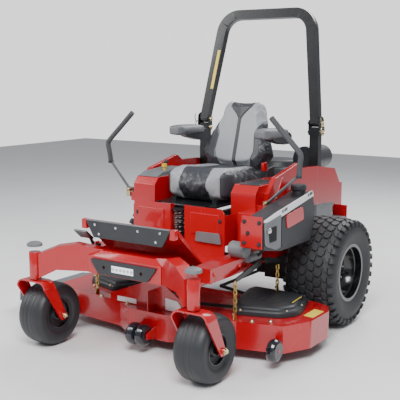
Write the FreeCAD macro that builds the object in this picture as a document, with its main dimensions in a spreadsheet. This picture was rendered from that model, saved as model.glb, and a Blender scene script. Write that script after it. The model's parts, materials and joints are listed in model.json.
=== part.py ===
"""Zero turn mower: a riding mower with two driven rear wheels, two front casters and a three-blade deck.

Millimetres. +Z up, the mower faces -Y and +X is the operator's left. The design is drawn from the middle
of the rear axle at ground level; "shift_x" and "shift_y" then carry every sub-part so that the row's origin
is the middle of the whole mower's footprint. Each value in SIZES is a cell of the spreadsheet, and every
sub-part takes its sizes and its place from those cells.
"""
import FreeCAD, Part
import math
import os

import Sketcher
from FreeCAD import Placement, Rotation, Vector

SIZES = {
    # frame shift: middle of the mower's box to the row's origin
    "shift_x": 164.0, "shift_y": 279.0,
    # general clearances
    "running_fit": 0.05, "sheet": 4.0, "tube_wall": 5.0,
    # drive wheels
    "drive_radius": 305.0, "drive_width": 305.0, "drive_track": 1138.0, "drive_rim": 152.0,
    "tyre_wall": 14.0, "bead_height": 14.0, "flange": 12.0, "rim_wall": 6.0, "disc_offset": 20.0,
    "disc_thick": 8.0, "axle_radius": 20.0,
    "lug_circle": 60.0, "lug_radius": 10.0, "lug_height": 14.0, "horn_radius": 45.0, "horn_end": 500.0,
    # casters
    "caster_radius": 165.0, "caster_width": 165.0, "caster_track": 992.0, "caster_rim": 76.0,
    "caster_axle_y": -1165.0, "caster_trail": 96.0, "fork_plate": 8.0, "fork_gap": 9.5,
    "fork_height": 365.0, "fork_round": 42.0, "stem_radius": 12.5, "axle_bolt": 9.0,
    "barrel_radius": 31.0, "barrel_low": 369.0, "barrel_high": 510.0, "bearing_outer": 22.0,
    "bearing_height": 18.0,
    # chassis
    "rail_inner": 330.0, "rail_width": 50.0, "rail_low": 405.0, "rail_high": 495.0,
    "rail_front": -1140.0, "rail_rear": 640.0, "beam_front": -1150.0, "beam_depth": 144.0,
    "beam_low": 415.0, "beam_high": 530.0, "beam_half": 230.0, "arm_high": 545.0,
    "hitch_bore": 19.0, "hitch_plate": 8.0,
    # mower deck
    "deck_half": 775.0, "deck_low": 60.0, "deck_high": 200.0, "deck_wall": 5.0, "deck_nose": -965.0,
    "deck_rear": -312.0, "spindle_x": 498.0, "spindle_y": -572.0, "centre_spindle_y": -682.0,
    "blade_radius": 250.0, "blade_width": 64.0, "blade_thick": 6.0, "blade_low": 85.0,
    "spindle_shaft": 14.0, "housing_radius": 46.0, "pulley_radius": 62.0, "belt_low": 207.0,
    "belt_height": 15.0, "belt_width": 10.0, "cover_high": 242.0, "nose_plate_high": 336.0,
    "roller_radius": 57.0, "roller_width": 50.0, "roller_bore": 7.0, "roller_low": 38.0,
    "deflector_reach": 325.0,
    "chain_x": 452.0, "chain_front": -834.0, "chain_rear": -400.0, "lift_y": -620.0, "lift_z": 452.0, "pedal_x": 345.0, "pedal_y": -960.0,
    "pedal_z": 515.0,
    # operator platform
    "floor_half": 290.0, "floor_high": 465.0, "floor_front": -1108.0, "toe_high": 680.0, "floor_bend": -880.0,
    "floor_rear": -694.0, "pod_half": 299.0, "pod_front": -694.0, "pod_high": 724.0, "slot_half": 45.0,
    "spring_radius": 30.0, "spring_wire": 6.0, "spring_low": 500.0, "spring_high": 690.0,
    "spring_y": -674.0,
    # seat
    "seat_low": 732.0, "seat_high": 862.0, "seat_crown": 900.0, "seat_front": -560.0,
    "seat_rear": -105.0, "seat_half": 214.0,
    "back_high": 1230.0, "back_thick": 105.0, "back_lean": 16.4, "tilt_y": -645.0, "tilt_z": 712.0,
    "tilt_half": 151.0,
    "arm_inner": 242.0, "arm_width": 92.0, "arm_length": 320.0, "arm_height": 62.0, "arm_pivot_y": -20.0,
    "arm_pivot_z": 1060.0,
    # consoles, levers and tanks
    "column_inner": 347.0, "column_outer": 436.0, "column_front": -640.0, "column_high": 706.0,
    "console_inner": 252.0, "console_outer": 403.0, "console_high": 834.0, "fender_x": 430.0,
    "lever_x": 455.0, "lever_y": -530.0, "lever_hinge": 722.0, "lever_swing": 750.0, "lever_radius": 8.0,
    "lever_pin": 6.0, "tank_inner": 494.0, "tank_outer": 600.0,
    # roll bar
    "rops_x": 388.0, "rops_y": 156.0, "rops_pivot": 1125.0, "rops_high": 1795.0, "rops_section": 57.0,
    "rops_depth": 44.0, "rops_lean": 8.7, "rops_taper": 91.0, "rops_round": 150.0, "rops_pin": 8.0,
    # engine
    "engine_y": 400.0, "engine_low": 345.0, "shroud_radius": 235.0, "shroud_low": 640.0,
    "shroud_high": 830.0, "crank_radius": 15.0, "guard_x": 420.0, "guard_waist": 280.0,
    "guard_rear": 766.0,
}

doc = FreeCAD.newDocument("zero_turn_mower")
NODES = []
PLACES = {}


class Size:
    """A number together with the expression that gives it, so that both can be set at once."""

    def __init__(self, value, text=None):
        self.value = float(value)
        self.text = text or "(%r)" % self.value

    def __add__(self, other):
        other = size(other)
        return Size(self.value + other.value, "(%s + %s)" % (self.text, other.text))

    def __sub__(self, other):
        other = size(other)
        return Size(self.value - other.value, "(%s - %s)" % (self.text, other.text))

    def __mul__(self, other):
        other = size(other)
        return Size(self.value * other.value, "(%s * %s)" % (self.text, other.text))

    def __truediv__(self, other):
        other = size(other)
        return Size(self.value / other.value, "(%s / %s)" % (self.text, other.text))

    def __neg__(self):
        return self * -1

    def __radd__(self, other):
        return size(other) + self

    def __rsub__(self, other):
        return size(other) - self

    def __rmul__(self, other):
        return self * other


def size(number):
    return number if isinstance(number, Size) else Size(number)


class Cells:
    """The spreadsheet: one alias per driving dimension, read here as attributes."""

    def __init__(self, table):
        sheet = doc.addObject("Spreadsheet::Sheet", "dim")
        for row, (name, value) in enumerate(table.items(), 1):
            sheet.set("A%d" % row, str(value))
            sheet.setAlias("A%d" % row, name)
            setattr(self, name, Size(value, "dim." + name))
        doc.recompute()


d = Cells(SIZES)


# ---------------------------------------------------------------- drawing helpers
def bind(obj, prop, number):
    number = size(number)
    setattr(obj, prop, number.value)
    obj.setExpression(prop, number.text)


def put(obj, x=0, y=0, z=0, turn=None):
    x, y, z = size(x), size(y), size(z)
    obj.Placement = Placement(Vector(x.value, y.value, z.value), turn or Rotation())
    for axis, number in zip("xyz", (x, y, z)):
        obj.setExpression("Placement.Base." + axis, number.text)
    PLACES[obj.Name] = (x, y, z, turn)
    return obj


TURNS = {"Z": Rotation(), "X": Rotation(Vector(0, 1, 0), 90), "Y": Rotation(Vector(1, 0, 0), -90)}


def along(axis, centre, start):
    """The point that lies at start along an axis whose line crosses the other two coordinates at centre."""
    a, b = centre
    return {"X": (start, a, b), "Y": (a, start, b), "Z": (a, b, start)}[axis]


def box(name, x, y, z):
    obj = doc.addObject("Part::Box", name)
    for prop, (low, high) in zip(("Length", "Width", "Height"), (x, y, z)):
        bind(obj, prop, size(high) - low)
    return put(obj, x[0], y[0], z[0])


def rod(name, axis, centre, radius, low, high):
    obj = doc.addObject("Part::Cylinder", name)
    bind(obj, "Radius", radius)
    bind(obj, "Height", size(high) - low)
    return put(obj, *along(axis, centre, low), turn=TURNS[axis])


def hollow_bar(name, axis, x, y, z):
    """A square tube open at both ends."""
    wall = d.tube_wall
    spans = {"X": x, "Y": y, "Z": z}
    room = {key: (low, high) if key == axis else (size(low) + wall, size(high) - wall)
            for key, (low, high) in spans.items()}
    return cut(name, box(name + "_bar", x, y, z), box(name + "_room", room["X"], room["Y"], room["Z"]))


def fuse(name, *parts):
    obj = doc.addObject("Part::MultiFuse", name)
    obj.Shapes = list(parts)
    obj.Refine = True
    return put(obj)


def cut(name, base, *tools):
    obj = doc.addObject("Part::Cut", name)
    obj.Base = base
    obj.Tool = tools[0] if len(tools) == 1 else fuse(name + "_tools", *tools)
    obj.Refine = False
    return put(obj)


def common(name, first, second):
    obj = doc.addObject("Part::Common", name)
    obj.Base = first
    obj.Tool = second
    return put(obj)


def group(name, *parts):
    obj = doc.addObject("Part::Compound", name)
    obj.Links = list(parts)
    return put(obj)


def outline(body, role, points):
    """A closed sketch whose corners are each tied to the cells by their two distances."""
    sketch = body.newObject("Sketcher::SketchObject", "outline")
    plane = [f for f in body.Origin.OriginFeatures if f.Role == role][0]
    sketch.AttachmentSupport = [(plane, "")]
    sketch.MapMode = "FlatFace"
    points = [(size(a), size(b)) for a, b in points]
    spots = [Vector(a.value, b.value, 0) for a, b in points]
    count = len(spots)
    sketch.addGeometry([Part.LineSegment(spots[i], spots[(i + 1) % count]) for i in range(count)], False)
    sketch.addConstraint([Sketcher.Constraint("Coincident", i, 2, (i + 1) % count, 1) for i in range(count)])
    for i, pair in enumerate(points):
        for kind, number in zip(("DistanceX", "DistanceY"), pair):
            index = sketch.addConstraint(Sketcher.Constraint(kind, -1, 1, i, 1, number.value))
            sketch.setExpression("Constraints[%d]" % index, number.text)
    return sketch


def prism(name, plane, points, low, high, rounds=(), wall=None, open_side="low"):
    """An outline padded from low to high. rounds gives (radius, corner numbers); wall hollows it out,
    leaving it open at its low or high end."""
    body = doc.addObject("PartDesign::Body", name)
    sketch = outline(body, plane + "_Plane", points)
    pad = body.newObject("PartDesign::Pad", "pad")
    pad.Profile = sketch
    bind(pad, "Length", size(high) - low)
    axis = {"XY": "Z", "XZ": "Y", "YZ": "X"}[plane]
    start = high if plane == "XZ" else low
    put(body, *along(axis, (0, 0), start))
    last = pad
    for radius, corners in rounds:
        doc.recompute([body, sketch, last])
        fillet = body.newObject("PartDesign::Fillet", "rounding")
        fillet.Base = (last, edges_at(last.Shape, sketch, [points[c] for c in corners]))
        bind(fillet, "Radius", radius)
        last = fillet
    if wall is not None:
        doc.recompute([body, sketch, last])
        hollow = body.newObject("PartDesign::Thickness", "hollow")
        hollow.Base = (last, [end_face(last.Shape, sketch, open_side, plane)])
        bind(hollow, "Value", wall)
        hollow.Reversed = True
        hollow.Join = 1
    return body


def edges_at(shape, sketch, corners):
    """The names of the edges that stand on the given corners of a padded sketch."""
    found = []
    for a, b in corners:
        spot = sketch.Placement.multVec(Vector(size(a).value, size(b).value, 0))
        normal = sketch.Placement.Rotation.multVec(Vector(0, 0, 1))
        for i, edge in enumerate(shape.Edges, 1):
            ends = [v.Point - spot for v in edge.Vertexes]
            if len(ends) == 2 and all((e - normal * e.dot(normal)).Length < 0.001 for e in ends):
                found.append("Edge%d" % i)
    return found


def end_face(shape, sketch, side, plane):
    """The name of the flat face at the pad's low or high end."""
    normal = sketch.Placement.Rotation.multVec(Vector(0, 0, 1))
    heights = [f.CenterOfMass.dot(normal) if flat_to(f, normal) else None for f in shape.Faces]
    known = [v for v in heights if v is not None]
    wants_high = (side == "high") != (plane == "XZ")
    return "Face%d" % (heights.index(max(known) if wants_high else min(known)) + 1)


def flat_to(face, normal):
    return isinstance(face.Surface, Part.Plane) and abs(abs(face.normalAt(0, 0).dot(normal)) - 1) < 1e-6


def turned(name, axis, centre, profile, start=0, flip=False):
    """A profile of (radius, distance along the axis) turned through a whole circle."""
    body = doc.addObject("PartDesign::Body", name)
    sign = -1 if flip else 1
    sketch = outline(body, "XZ_Plane", [(r, size(a) * sign) for r, a in profile])
    lathe = body.newObject("PartDesign::Revolution", "turned")
    lathe.Profile = sketch
    lathe.ReferenceAxis = (sketch, ["V_Axis"])
    lathe.Angle = 360
    return put(body, *along(axis, centre, start), turn=TURNS[axis])


def tube(name, points, radius, bend):
    """A round bar along straight runs that are joined by arcs of one bend radius."""
    spots = [Vector(*[size(c).value for c in p]) for p in points]
    edges = []
    last = spots[0]
    for before, here, after in zip(spots, spots[1:], spots[2:]):
        inward = (before - here).normalize()
        outward = (after - here).normalize()
        half = inward.getAngle(outward) / 2
        reach = size(bend).value / math.tan(half)
        first, final = here + inward * reach, here + outward * reach
        middle = here + (inward + outward).normalize() * (reach / math.cos(half) - size(bend).value)
        edges += [Part.LineSegment(last, first).toShape(), Part.Arc(first, middle, final).toShape()]
        last = final
    edges.append(Part.LineSegment(last, spots[-1]).toShape())
    path = doc.addObject("Part::Feature", name + "_path")
    path.Shape = Part.Wire(edges)
    section = doc.addObject("Part::Circle", name + "_section")
    bind(section, "Radius", radius)
    run = (spots[1] - spots[0]).normalize()
    section.Placement = Placement(spots[0], Rotation(Vector(0, 0, 1), run))
    sweep = doc.addObject("Part::Sweep", name)
    sweep.Sections = [section]
    sweep.Spine = (path, ["Edge%d" % (i + 1) for i in range(len(edges))])
    sweep.Solid = True
    sweep.Transition = 1
    return put(sweep)


def sided(side, inner, outer):
    """The low and high X of something that reaches from inner to outer on one side of the mower."""
    return (size(inner), size(outer)) if side > 0 else (-size(outer), -size(inner))


def mirrored(side, points):
    return [(size(x) * side, y) for x, y in points]


def node(obj, label):
    """Names a finished sub-part and carries it to the row's frame."""
    x, y, z, turn = PLACES[obj.Name]
    put(obj, x + d.shift_x, y + d.shift_y, z, turn)
    obj.Label = label
    NODES.append(obj)


SIDES = {"left": 1, "right": -1}


# ---------------------------------------------------------------- chassis
rail_outer = d.rail_inner + d.rail_width
caster_x = d.caster_track / 2
pivot_y = d.caster_axle_y - d.caster_trail
beam_rear = d.beam_front + d.beam_depth
drive_x = d.drive_track / 2


def main_frame():
    """Two box rails, three cross members, the side brackets and a rear plate with the hitch hole."""
    bores = [rod("shaft_bore", "X", (y, d.lift_z), 10 + d.running_fit, -rail_outer - 60, rail_outer + 60)
             for y in (d.lift_y, d.lift_y + 80)]
    parts = []
    for side in SIDES.values():
        rail = hollow_bar("rail", "Y", sided(side, d.rail_inner, rail_outer), (d.rail_front, d.rail_rear),
                          (d.rail_low, d.rail_high))
        bracket = box("side_bracket", sided(side, rail_outer, rail_outer + 52), (-1027, -685),
                      (423, d.rail_high))
        bolts = [rod("bracket_bolt", "X", (y, 462), 9, *sided(side, rail_outer + 52, rail_outer + 60))
                 for y in (-720, -770, -990)]
        parts += [cut("bored_rail", rail, *bores), fuse("bolted_bracket", bracket, *bolts)]
    for rear in (beam_rear + 44, -60, d.rail_rear):
        parts.append(hollow_bar("cross_member", "X", (-d.rail_inner, d.rail_inner), (size(rear) - 40, rear),
                                (d.rail_low, d.rail_low + 50)))
    wall_rear = d.rail_rear + d.hitch_plate
    parts.append(box("hitch_wall", (-rail_outer, rail_outer), (d.rail_rear, wall_rear),
                     (d.rail_low, d.rail_high)))
    plate = box("hitch", (-60, 60), (wall_rear, d.rail_rear + 130), (d.rail_low, d.rail_low + d.hitch_plate))
    hole = rod("hitch_hole", "Z", (0, d.rail_rear + 95), d.hitch_bore / 2, d.rail_low - 1,
               d.rail_low + d.hitch_plate + 1)
    lug = box("pedal_lug", (-d.pedal_x + 1, -d.pedal_x + 12), (d.pedal_y - 16, d.pedal_y + 16),
              (d.rail_high, d.pedal_z + 16))
    pin_bore = rod("pedal_bore", "X", (d.pedal_y, d.pedal_z), 8 + d.running_fit, -d.pedal_x, -d.pedal_x + 13)
    node(group("frame_weldment", *parts, cut("hitch_tongue", plate, hole), cut("pedal_ear", lug, pin_bore)),
         "main_frame")


def front_arm(name, side, inset):
    """One splayed arm between the beam and its caster barrel, drawn smaller all round by inset."""
    start_y, depth = d.beam_front + 45, 70
    back, out = start_y - pivot_y, caster_x - d.beam_half
    turn = math.atan2(back.value, out.value)
    length = math.hypot(back.value, out.value) - 26
    arm = prism(name, "XZ",
                mirrored(side, [(-60, d.beam_low + inset), (length * 0.67, d.beam_low + 8 + inset),
                                (length - inset, d.barrel_low + 9 + inset),
                                (length - inset, d.barrel_high - 5 - inset),
                                (length * 0.65, d.arm_high - inset), (length * 0.3, d.arm_high + 14 - inset),
                                (-60, d.beam_high - inset)]), inset, depth - inset)
    reach = depth / 2 - inset
    return put(arm, (d.beam_half + reach * math.sin(turn)) * side, start_y + reach * math.cos(turn), 0,
               Rotation(Vector(0, 0, 1), -math.degrees(turn) * side))


def front_beam(name, inset, half):
    """The beam's folded section along X."""
    low, high = d.beam_low + inset, d.beam_high - inset
    front = d.beam_front + inset
    return prism(name, "YZ", [(front, low), (beam_rear - inset, low), (beam_rear - inset, high),
                              (d.beam_front + 34, high), (front, d.beam_high - 24 - inset)], -half, half)


def front_frame():
    """The folded front beam with its two splayed arms, each welded to a caster barrel."""
    beam = front_beam("beam_skin", 0, d.beam_half)
    parts = [cut("folded_beam", beam, front_beam("beam_room", d.tube_wall, d.beam_half - d.tube_wall))]
    for side in SIDES.values():
        spot = (caster_x * side, pivot_y)
        barrel = rod("barrel", "Z", spot, d.barrel_radius, d.barrel_low, d.barrel_high)
        bore = rod("barrel_bore", "Z", spot, d.bearing_outer, d.barrel_low - 1, d.barrel_high - 8)
        rail = box("rail_room", sided(side, d.rail_inner, rail_outer), (d.rail_front, d.rail_front + 200),
                   (d.rail_low, d.rail_high))
        arm = cut("arm_tube", front_arm("arm_skin", side, 0), front_arm("arm_room", side, d.tube_wall))
        parts.append(cut("splayed_arm", cut("arm_at_beam", arm, beam), fuse("arm_ends", barrel, rail)))
        parts.append(cut("bored_barrel", barrel, bore))
    node(group("front_weldment", *parts), "front_frame")


def caster_bearings():
    """Two bushes in each barrel carry the fork's stem."""
    rings = []
    for side in SIDES.values():
        for low in (d.barrel_low, d.barrel_high - 8 - d.bearing_height):
            rings.append(cut("bearing", rod("bearing_ring", "Z", (caster_x * side, pivot_y), d.bearing_outer,
                                            low, size(low) + d.bearing_height),
                             rod("bearing_bore", "Z", (caster_x * side, pivot_y),
                                 d.stem_radius + d.running_fit, size(low) - 1,
                                 size(low) + d.bearing_height + 1)))
    node(group("bearings", *rings), "caster_bearings")


def lights():
    """The black lamp panel on the beam's face and its clear lens."""
    low, high = 421, 494
    face = prism("lamp_panel", "XZ", [(-155, low), (155, low), (210, high), (-210, high)],
                 d.beam_front - 12, d.beam_front, rounds=[(6, [0, 1, 2, 3])])
    tools = [box("lens_room", (-70, 70), (d.beam_front - 20, d.beam_front - 4), (439, 474))]
    for side in SIDES.values():
        tools.append(rod("lamp_hole", "Y", (size(118) * side, 457), 9, d.beam_front - 20, d.beam_front + 1))
    node(cut("lamp_bar", face, *tools), "light_bar")
    node(box("lens", (-70, 70), (d.beam_front - 10, d.beam_front - 4), (439, 474)), "light_lens")


# ---------------------------------------------------------------- wheels
BEAD_SHARE = 0.84  # of the tyre's half width, where its beads sit on the rim


def tyre_profile(radius, half, bead, wall):
    """Half-open tyre section: the tread, two sidewalls, their beads and the air space inside them."""
    rise = radius - bead
    seat_edge = -half * BEAD_SHARE
    outer = [(bead, seat_edge), (bead + d.bead_height, seat_edge), (bead + rise * 0.34, -half * 0.98),
             (bead + rise * 0.68, -half), (radius - rise * 0.09, -half * 0.84), (radius, -half * 0.5)]
    inner = [(bead, seat_edge + wall), (bead + d.bead_height, seat_edge + wall),
             (bead + rise * 0.34, -half * 0.98 + wall), (bead + rise * 0.68, -half + wall),
             (radius - rise * 0.09 - wall, -half * 0.84 + wall * 0.6), (radius - wall, -half * 0.5)]
    far = [(r, -a) for r, a in reversed(outer)]
    far_inner = [(r, -a) for r, a in inner]
    return outer + far + far_inner + list(reversed(inner))


def drive_wheel(name, side):
    """A turf tyre on a deep rim, with the rim's disc, its lug nuts and the driven axle stub."""
    centre = (0, d.drive_radius)
    half = d.drive_width / 2
    node(turned("drive_tyre", "X", centre, tyre_profile(d.drive_radius, half, d.drive_rim, d.tyre_wall),
                start=drive_x * side), "drive_tyre_" + name)
    edge, barrel = half * BEAD_SHARE, d.drive_rim - d.rim_wall
    disc, lip = d.disc_offset, d.drive_rim + d.flange
    rim = turned("drive_rim", "X", centre,
                 [(d.axle_radius, disc), (barrel, disc), (barrel, -edge - 6), (lip, -edge - 6), (lip, -edge),
                  (d.drive_rim, -edge), (d.drive_rim, edge), (lip, edge), (lip, edge + 6), (barrel, edge + 6),
                  (barrel, disc + d.disc_thick), (d.axle_radius, disc + d.disc_thick)],
                 start=drive_x * side, flip=side < 0)
    face = drive_x + disc + d.disc_thick
    parts = [rim, rod("axle_stub", "X", centre, d.axle_radius, *sided(side, d.horn_end - 90, face + 22)),
             rod("wheel_hub", "X", centre, d.lug_circle + 18, *sided(side, drive_x - 40, drive_x + disc))]
    for turn in range(5):
        angle = math.radians(72 * turn + 18)
        spot = (d.lug_circle * math.cos(angle), d.drive_radius + d.lug_circle * math.sin(angle))
        parts.append(rod("lug_nut", "X", spot, d.lug_radius, *sided(side, face, face + d.lug_height)))
    node(fuse("drive_hub", *parts), "drive_rim_" + name)


def caster(name, side):
    """Fork with its stem and axle bolt, and the wheel that runs on the bolt."""
    x = caster_x * side
    half = d.caster_width / 2
    inside = half + d.fork_gap
    outside = inside + d.fork_plate
    top, axle = d.fork_height, d.caster_radius
    hoop = prism("fork_hoop", "XZ",
                 [(x - outside, 120), (x - inside, 120), (x - inside, top - d.fork_plate),
                  (x + inside, top - d.fork_plate), (x + inside, 120), (x + outside, 120), (x + outside, top),
                  (x - outside, top)], pivot_y - 60, d.caster_axle_y + 60,
                 rounds=[(d.fork_round - d.fork_plate, [2, 3]), (d.fork_round, [6, 7])])
    leg = prism("fork_leg", "YZ",
                [(pivot_y - 39, top + 5), (pivot_y - 39, top - 40), (d.caster_axle_y - 25, axle - 14),
                 (d.caster_axle_y - 14, axle - 25), (d.caster_axle_y + 14, axle - 25),
                 (d.caster_axle_y + 25, axle - 10), (pivot_y + 39, top - 30), (pivot_y + 39, top + 5)],
                x - outside - 5, x + outside + 5)
    stem = rod("stem", "Z", (x, pivot_y), d.stem_radius, top - d.fork_plate, d.barrel_high - 10)
    bolt = rod("axle_bolt", "X", (d.caster_axle_y, axle), d.axle_bolt, x - outside - 6, x + outside + 6)
    nuts = [rod("axle_nut", "X", (d.caster_axle_y, axle), d.axle_bolt + 6, *ends)
            for ends in ((x - outside - 9, x - outside), (x + outside, x + outside + 9))]
    node(fuse("fork", common("fork_plate", hoop, leg), stem, bolt, *nuts), "fork_" + name)
    centre = (d.caster_axle_y, axle)
    node(turned("caster_tyre", "X", centre,
                tyre_profile(d.caster_radius, half, d.caster_rim, d.tyre_wall), start=x), "caster_tyre_" + name)
    edge, bore = half * BEAD_SHARE, d.axle_bolt + d.running_fit
    side_half = [(bore, half - 2), (bore + 14, half - 2), (bore + 16, 12), (d.caster_rim - 5, 12),
                 (d.caster_rim - 5, edge), (d.caster_rim, edge)]
    node(turned("caster_hub", "X", centre,
                side_half + [(r, -a) for r, a in reversed(side_half)], start=x), "caster_hub_" + name)


# ---------------------------------------------------------------- drive line and engine
def transaxles():
    """One hydrostatic transaxle per side, with the horn that carries the axle stub."""
    parts = []
    for side in SIDES.values():
        body = cut("gear_case", box("case_block", sided(side, 205, 385), (-105, 110), (235, 400)),
                   box("case_room", sided(side, 214, 376), (-96, 101), (244, 391)))
        pump = rod("pump", "Z", (size(165) * side, -40), 45, 250, 395)
        horn = rod("axle_horn", "X", (0, d.drive_radius), d.horn_radius, *sided(side, 377, d.horn_end))
        bore = rod("horn_bore", "X", (0, d.drive_radius), d.axle_radius + d.running_fit,
                   *sided(side, d.horn_end - 92, d.horn_end + 1))
        parts.append(cut("transaxle", fuse("case", body, pump, horn), bore))
    node(group("transaxle_pair", *parts), "transaxles")


def engine():
    """Upright-shaft engine: mounting plate, crankcase, two cylinders, cooling shroud and fittings."""
    y = d.engine_y
    plate = box("engine_plate", (-rail_outer, rail_outer), (y - 220, y + 230), (d.rail_high, d.rail_high + 8))
    case = rod("crankcase", "Z", (0, y), 130, d.engine_low, d.shroud_low)
    heads = [rod("cylinder_head", "Y", (size(105) * side, 576), 62, y + 60, y + 235)
             for side in SIDES.values()]
    can = box("muffler_can", (250, 380), (185, 430), (520, 640))
    pipe = rod("tail_pipe", "Y", (310, 585), 20, 430, 560)
    node(group("engine", fuse("power_head", plate, case, *heads), fuse("muffler", can, pipe)), "engine_block")
    wide, skin, top = d.shroud_radius, d.sheet, d.shroud_high
    shroud = turned("shroud_cover", "Z", (0, y),
                    [(wide - skin, d.shroud_low), (wide, d.shroud_low), (wide, top - 50), (wide - 50, top),
                     (150, top), (130, top + 40), (0, top + 46), (0, top + 46 - skin),
                     (130 - skin, top + 40 - skin), (150 - skin, top - skin), (wide - 50 - skin, top - skin),
                     (wide - skin, top - 50 - skin)])
    node(shroud, "engine_shroud")
    canister = rod("canister", "Y", (300, 905), 70, 215, 430)
    cap = rod("canister_cap", "Y", (300, 905), 76, 190, 215)
    foot = box("canister_foot", (285, 315), (300, 360), (d.shroud_high - 10, 842))
    node(fuse("filter", canister, cap, foot), "air_cleaner")


def clutch():
    """The blade clutch's pulley on the end of the crankshaft."""
    sheave = rod("sheave", "Z", (0, d.engine_y), d.pulley_radius - 3, d.belt_low - 4, d.belt_low + 26)
    shaft = rod("crank", "Z", (0, d.engine_y), d.crank_radius, d.belt_low + 26, d.engine_low - 0.5)
    node(fuse("clutch", sheave, shaft), "clutch_pulley")


def rear_guard():
    """Folded side plates that step in behind the roll bar, and the slotted bumper round the engine."""
    parts = []
    waist, rail_end = d.guard_waist, d.rail_rear + d.hitch_plate
    for side in SIDES.values():
        outer = prism("guard_side", "YZ",
                      [(d.rops_y - 40, 655), (330, 640), (438, 622), (438, 735), (350, 845),
                       (d.rops_y - 40, 878)], *sided(side, d.guard_x, d.guard_x + 6))
        step = box("guard_step", sided(side, waist, d.guard_x + 6), (432, 438), (622, 735))
        inner = prism("guard_waist_side", "YZ",
                      [(438, 622), (rail_end, 580), (rail_end, d.rail_high), (d.guard_rear, d.rail_high),
                       (d.guard_rear, 700), (438, 735)], *sided(side, waist, waist + 6))
        foot = box("guard_foot", sided(side, waist, rail_outer), (rail_end, rail_end + 6),
                   (d.rail_low + 20, 570))
        parts.append(fuse("folded_side", outer, step, inner, foot))
    wall = box("bumper", (-waist - 6, waist + 6), (d.guard_rear, d.guard_rear + 6), (d.rail_high, 700))
    slots = [box("slot", (-230, 230), (d.guard_rear - 5, d.guard_rear + 12), (z, z + 18))
             for z in (540, 580, 620)]
    node(group("guard", cut("slotted_bumper", wall, *slots), *parts), "rear_guard")


# ---------------------------------------------------------------- mower deck
spindles = {"left": (d.spindle_x, d.spindle_y), "centre": (size(0), d.centre_spindle_y),
            "right": (-d.spindle_x, d.spindle_y)}
wall_in = d.deck_half - d.deck_wall


def deck_shell():
    """The formed shell, open below, with its discharge opening, front stiffener and roller arms."""
    left = [(130, d.deck_nose), (250, d.deck_nose + 95), (470, d.deck_nose + 115), (700, d.deck_nose + 175),
            (d.deck_half, d.deck_nose + 325), (d.deck_half, d.deck_rear - 120),
            (d.deck_half - 45, d.deck_rear - 35), (d.deck_half - 130, d.deck_rear), (300, d.deck_rear),
            (120, d.deck_rear - 88)]
    right = [(-120, d.deck_rear - 88), (-300, d.deck_rear), (130 - d.deck_half, d.deck_rear),
             (-d.deck_half, d.deck_rear - 60), (-d.deck_half, d.deck_nose + 135), (-240, d.deck_nose + 75),
             (-130, d.deck_nose)]
    shell = prism("shell", "XY", left + right, d.deck_low, d.deck_high,
                  rounds=[(40, [4, 5, 6, 7, 12])], wall=d.deck_wall, open_side="low")
    parts = [shell]
    nose = d.deck_nose + 65
    parts.append(prism("nose_plate", "XZ",
                       [(-300, d.deck_high - 1), (230, d.deck_high - 1), (230, d.deck_high + 30),
                        (60, d.nose_plate_high), (-60, d.nose_plate_high), (-300, d.deck_high + 40)],
                       nose, nose + 5))
    parts.append(box("nose_rib", (-2.5, 2.5), (nose - 60, nose + 1), (d.deck_high - 1, d.nose_plate_high - 30)))
    for low_x, high_x, y, arms in roller_pins():
        parts.append(rod("roller_pin", "X", (y, roller_z), d.roller_bore - d.running_fit, low_x, high_x))
        for x in arms:
            parts.append(prism("roller_arm", "YZ",
                               [(y - 16, roller_z - 16), (y + 60, d.deck_low + 8), (y + 60, d.deck_low + 70),
                                (y - 16, roller_z + 16)], x, size(x) + ARM))
    tools = [box("discharge", (-d.deck_half - 5, -d.deck_half + d.deck_wall + 1), (-800, -420),
                 (d.deck_low - 1, d.deck_high - 35))]
    for x, y in spindles.values():
        tools.append(rod("spindle_hole", "Z", (x, y), d.housing_radius, d.deck_high - 10, d.deck_high + 1))
    node(cut("deck_weldment", fuse("deck_parts", *parts), *tools), "deck_shell")


roller_z = d.roller_low + d.roller_radius
roller_half = d.roller_width / 2
ROLLERS = {"left": (size(690), d.deck_nose + 110), "right": (size(-640), d.deck_nose + 58),
           "nose_left": (size(23), d.deck_nose - d.roller_radius - 4),
           "nose_right": (size(-37), d.deck_nose - d.roller_radius - 4)}
ARM = 6  # thickness of a roller arm
GAP = 3  # between a roller and the arm beside it


def roller_pins():
    """For each pin: its two ends, its Y, and where its arms start along it."""
    reach = roller_half + GAP
    left, front_left = ROLLERS["left"]
    right, front_right = ROLLERS["right"]
    nose_left, front = ROLLERS["nose_left"]
    nose_right = ROLLERS["nose_right"][0]
    return [(left - reach - ARM, left + roller_half + 2, front_left, [left - reach - ARM]),
            (right - roller_half - 2, right + reach + ARM, front_right, [right + reach]),
            (nose_right - reach - ARM, nose_left + reach + ARM, front,
             [nose_right - reach - ARM, nose_left + reach])]


def rollers():
    """Anti-scalp rollers that turn freely on the pins of their arms."""
    wheels = {}
    half = roller_half
    profile = [(d.roller_bore, -half), (d.roller_radius - 16, -half), (d.roller_radius - 5, -half + 6),
               (d.roller_radius, -half + 17), (d.roller_radius, half - 17), (d.roller_radius - 5, half - 6),
               (d.roller_radius - 16, half), (d.roller_bore, half)]
    for name, (x, y) in ROLLERS.items():
        wheels[name] = turned("roller", "X", (y, roller_z), profile, start=x)
    node(group("nose_rollers", wheels["nose_left"], wheels["nose_right"]), "roller_centre")
    node(wheels["left"], "roller_left")
    node(wheels["right"], "roller_right")


def spindle_housings():
    """Three bearing housings bolted through the deck's top."""
    parts = []
    for x, y in spindles.values():
        body = turned("housing", "Z", (x, y),
                      [(d.spindle_shaft + d.running_fit, 120), (34, 120), (d.housing_radius, 150),
                       (d.housing_radius, d.deck_high + 3), (d.spindle_shaft + d.running_fit, d.deck_high + 3)])
        parts.append(body)
    node(group("housings", *parts), "spindle_housings")


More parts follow.
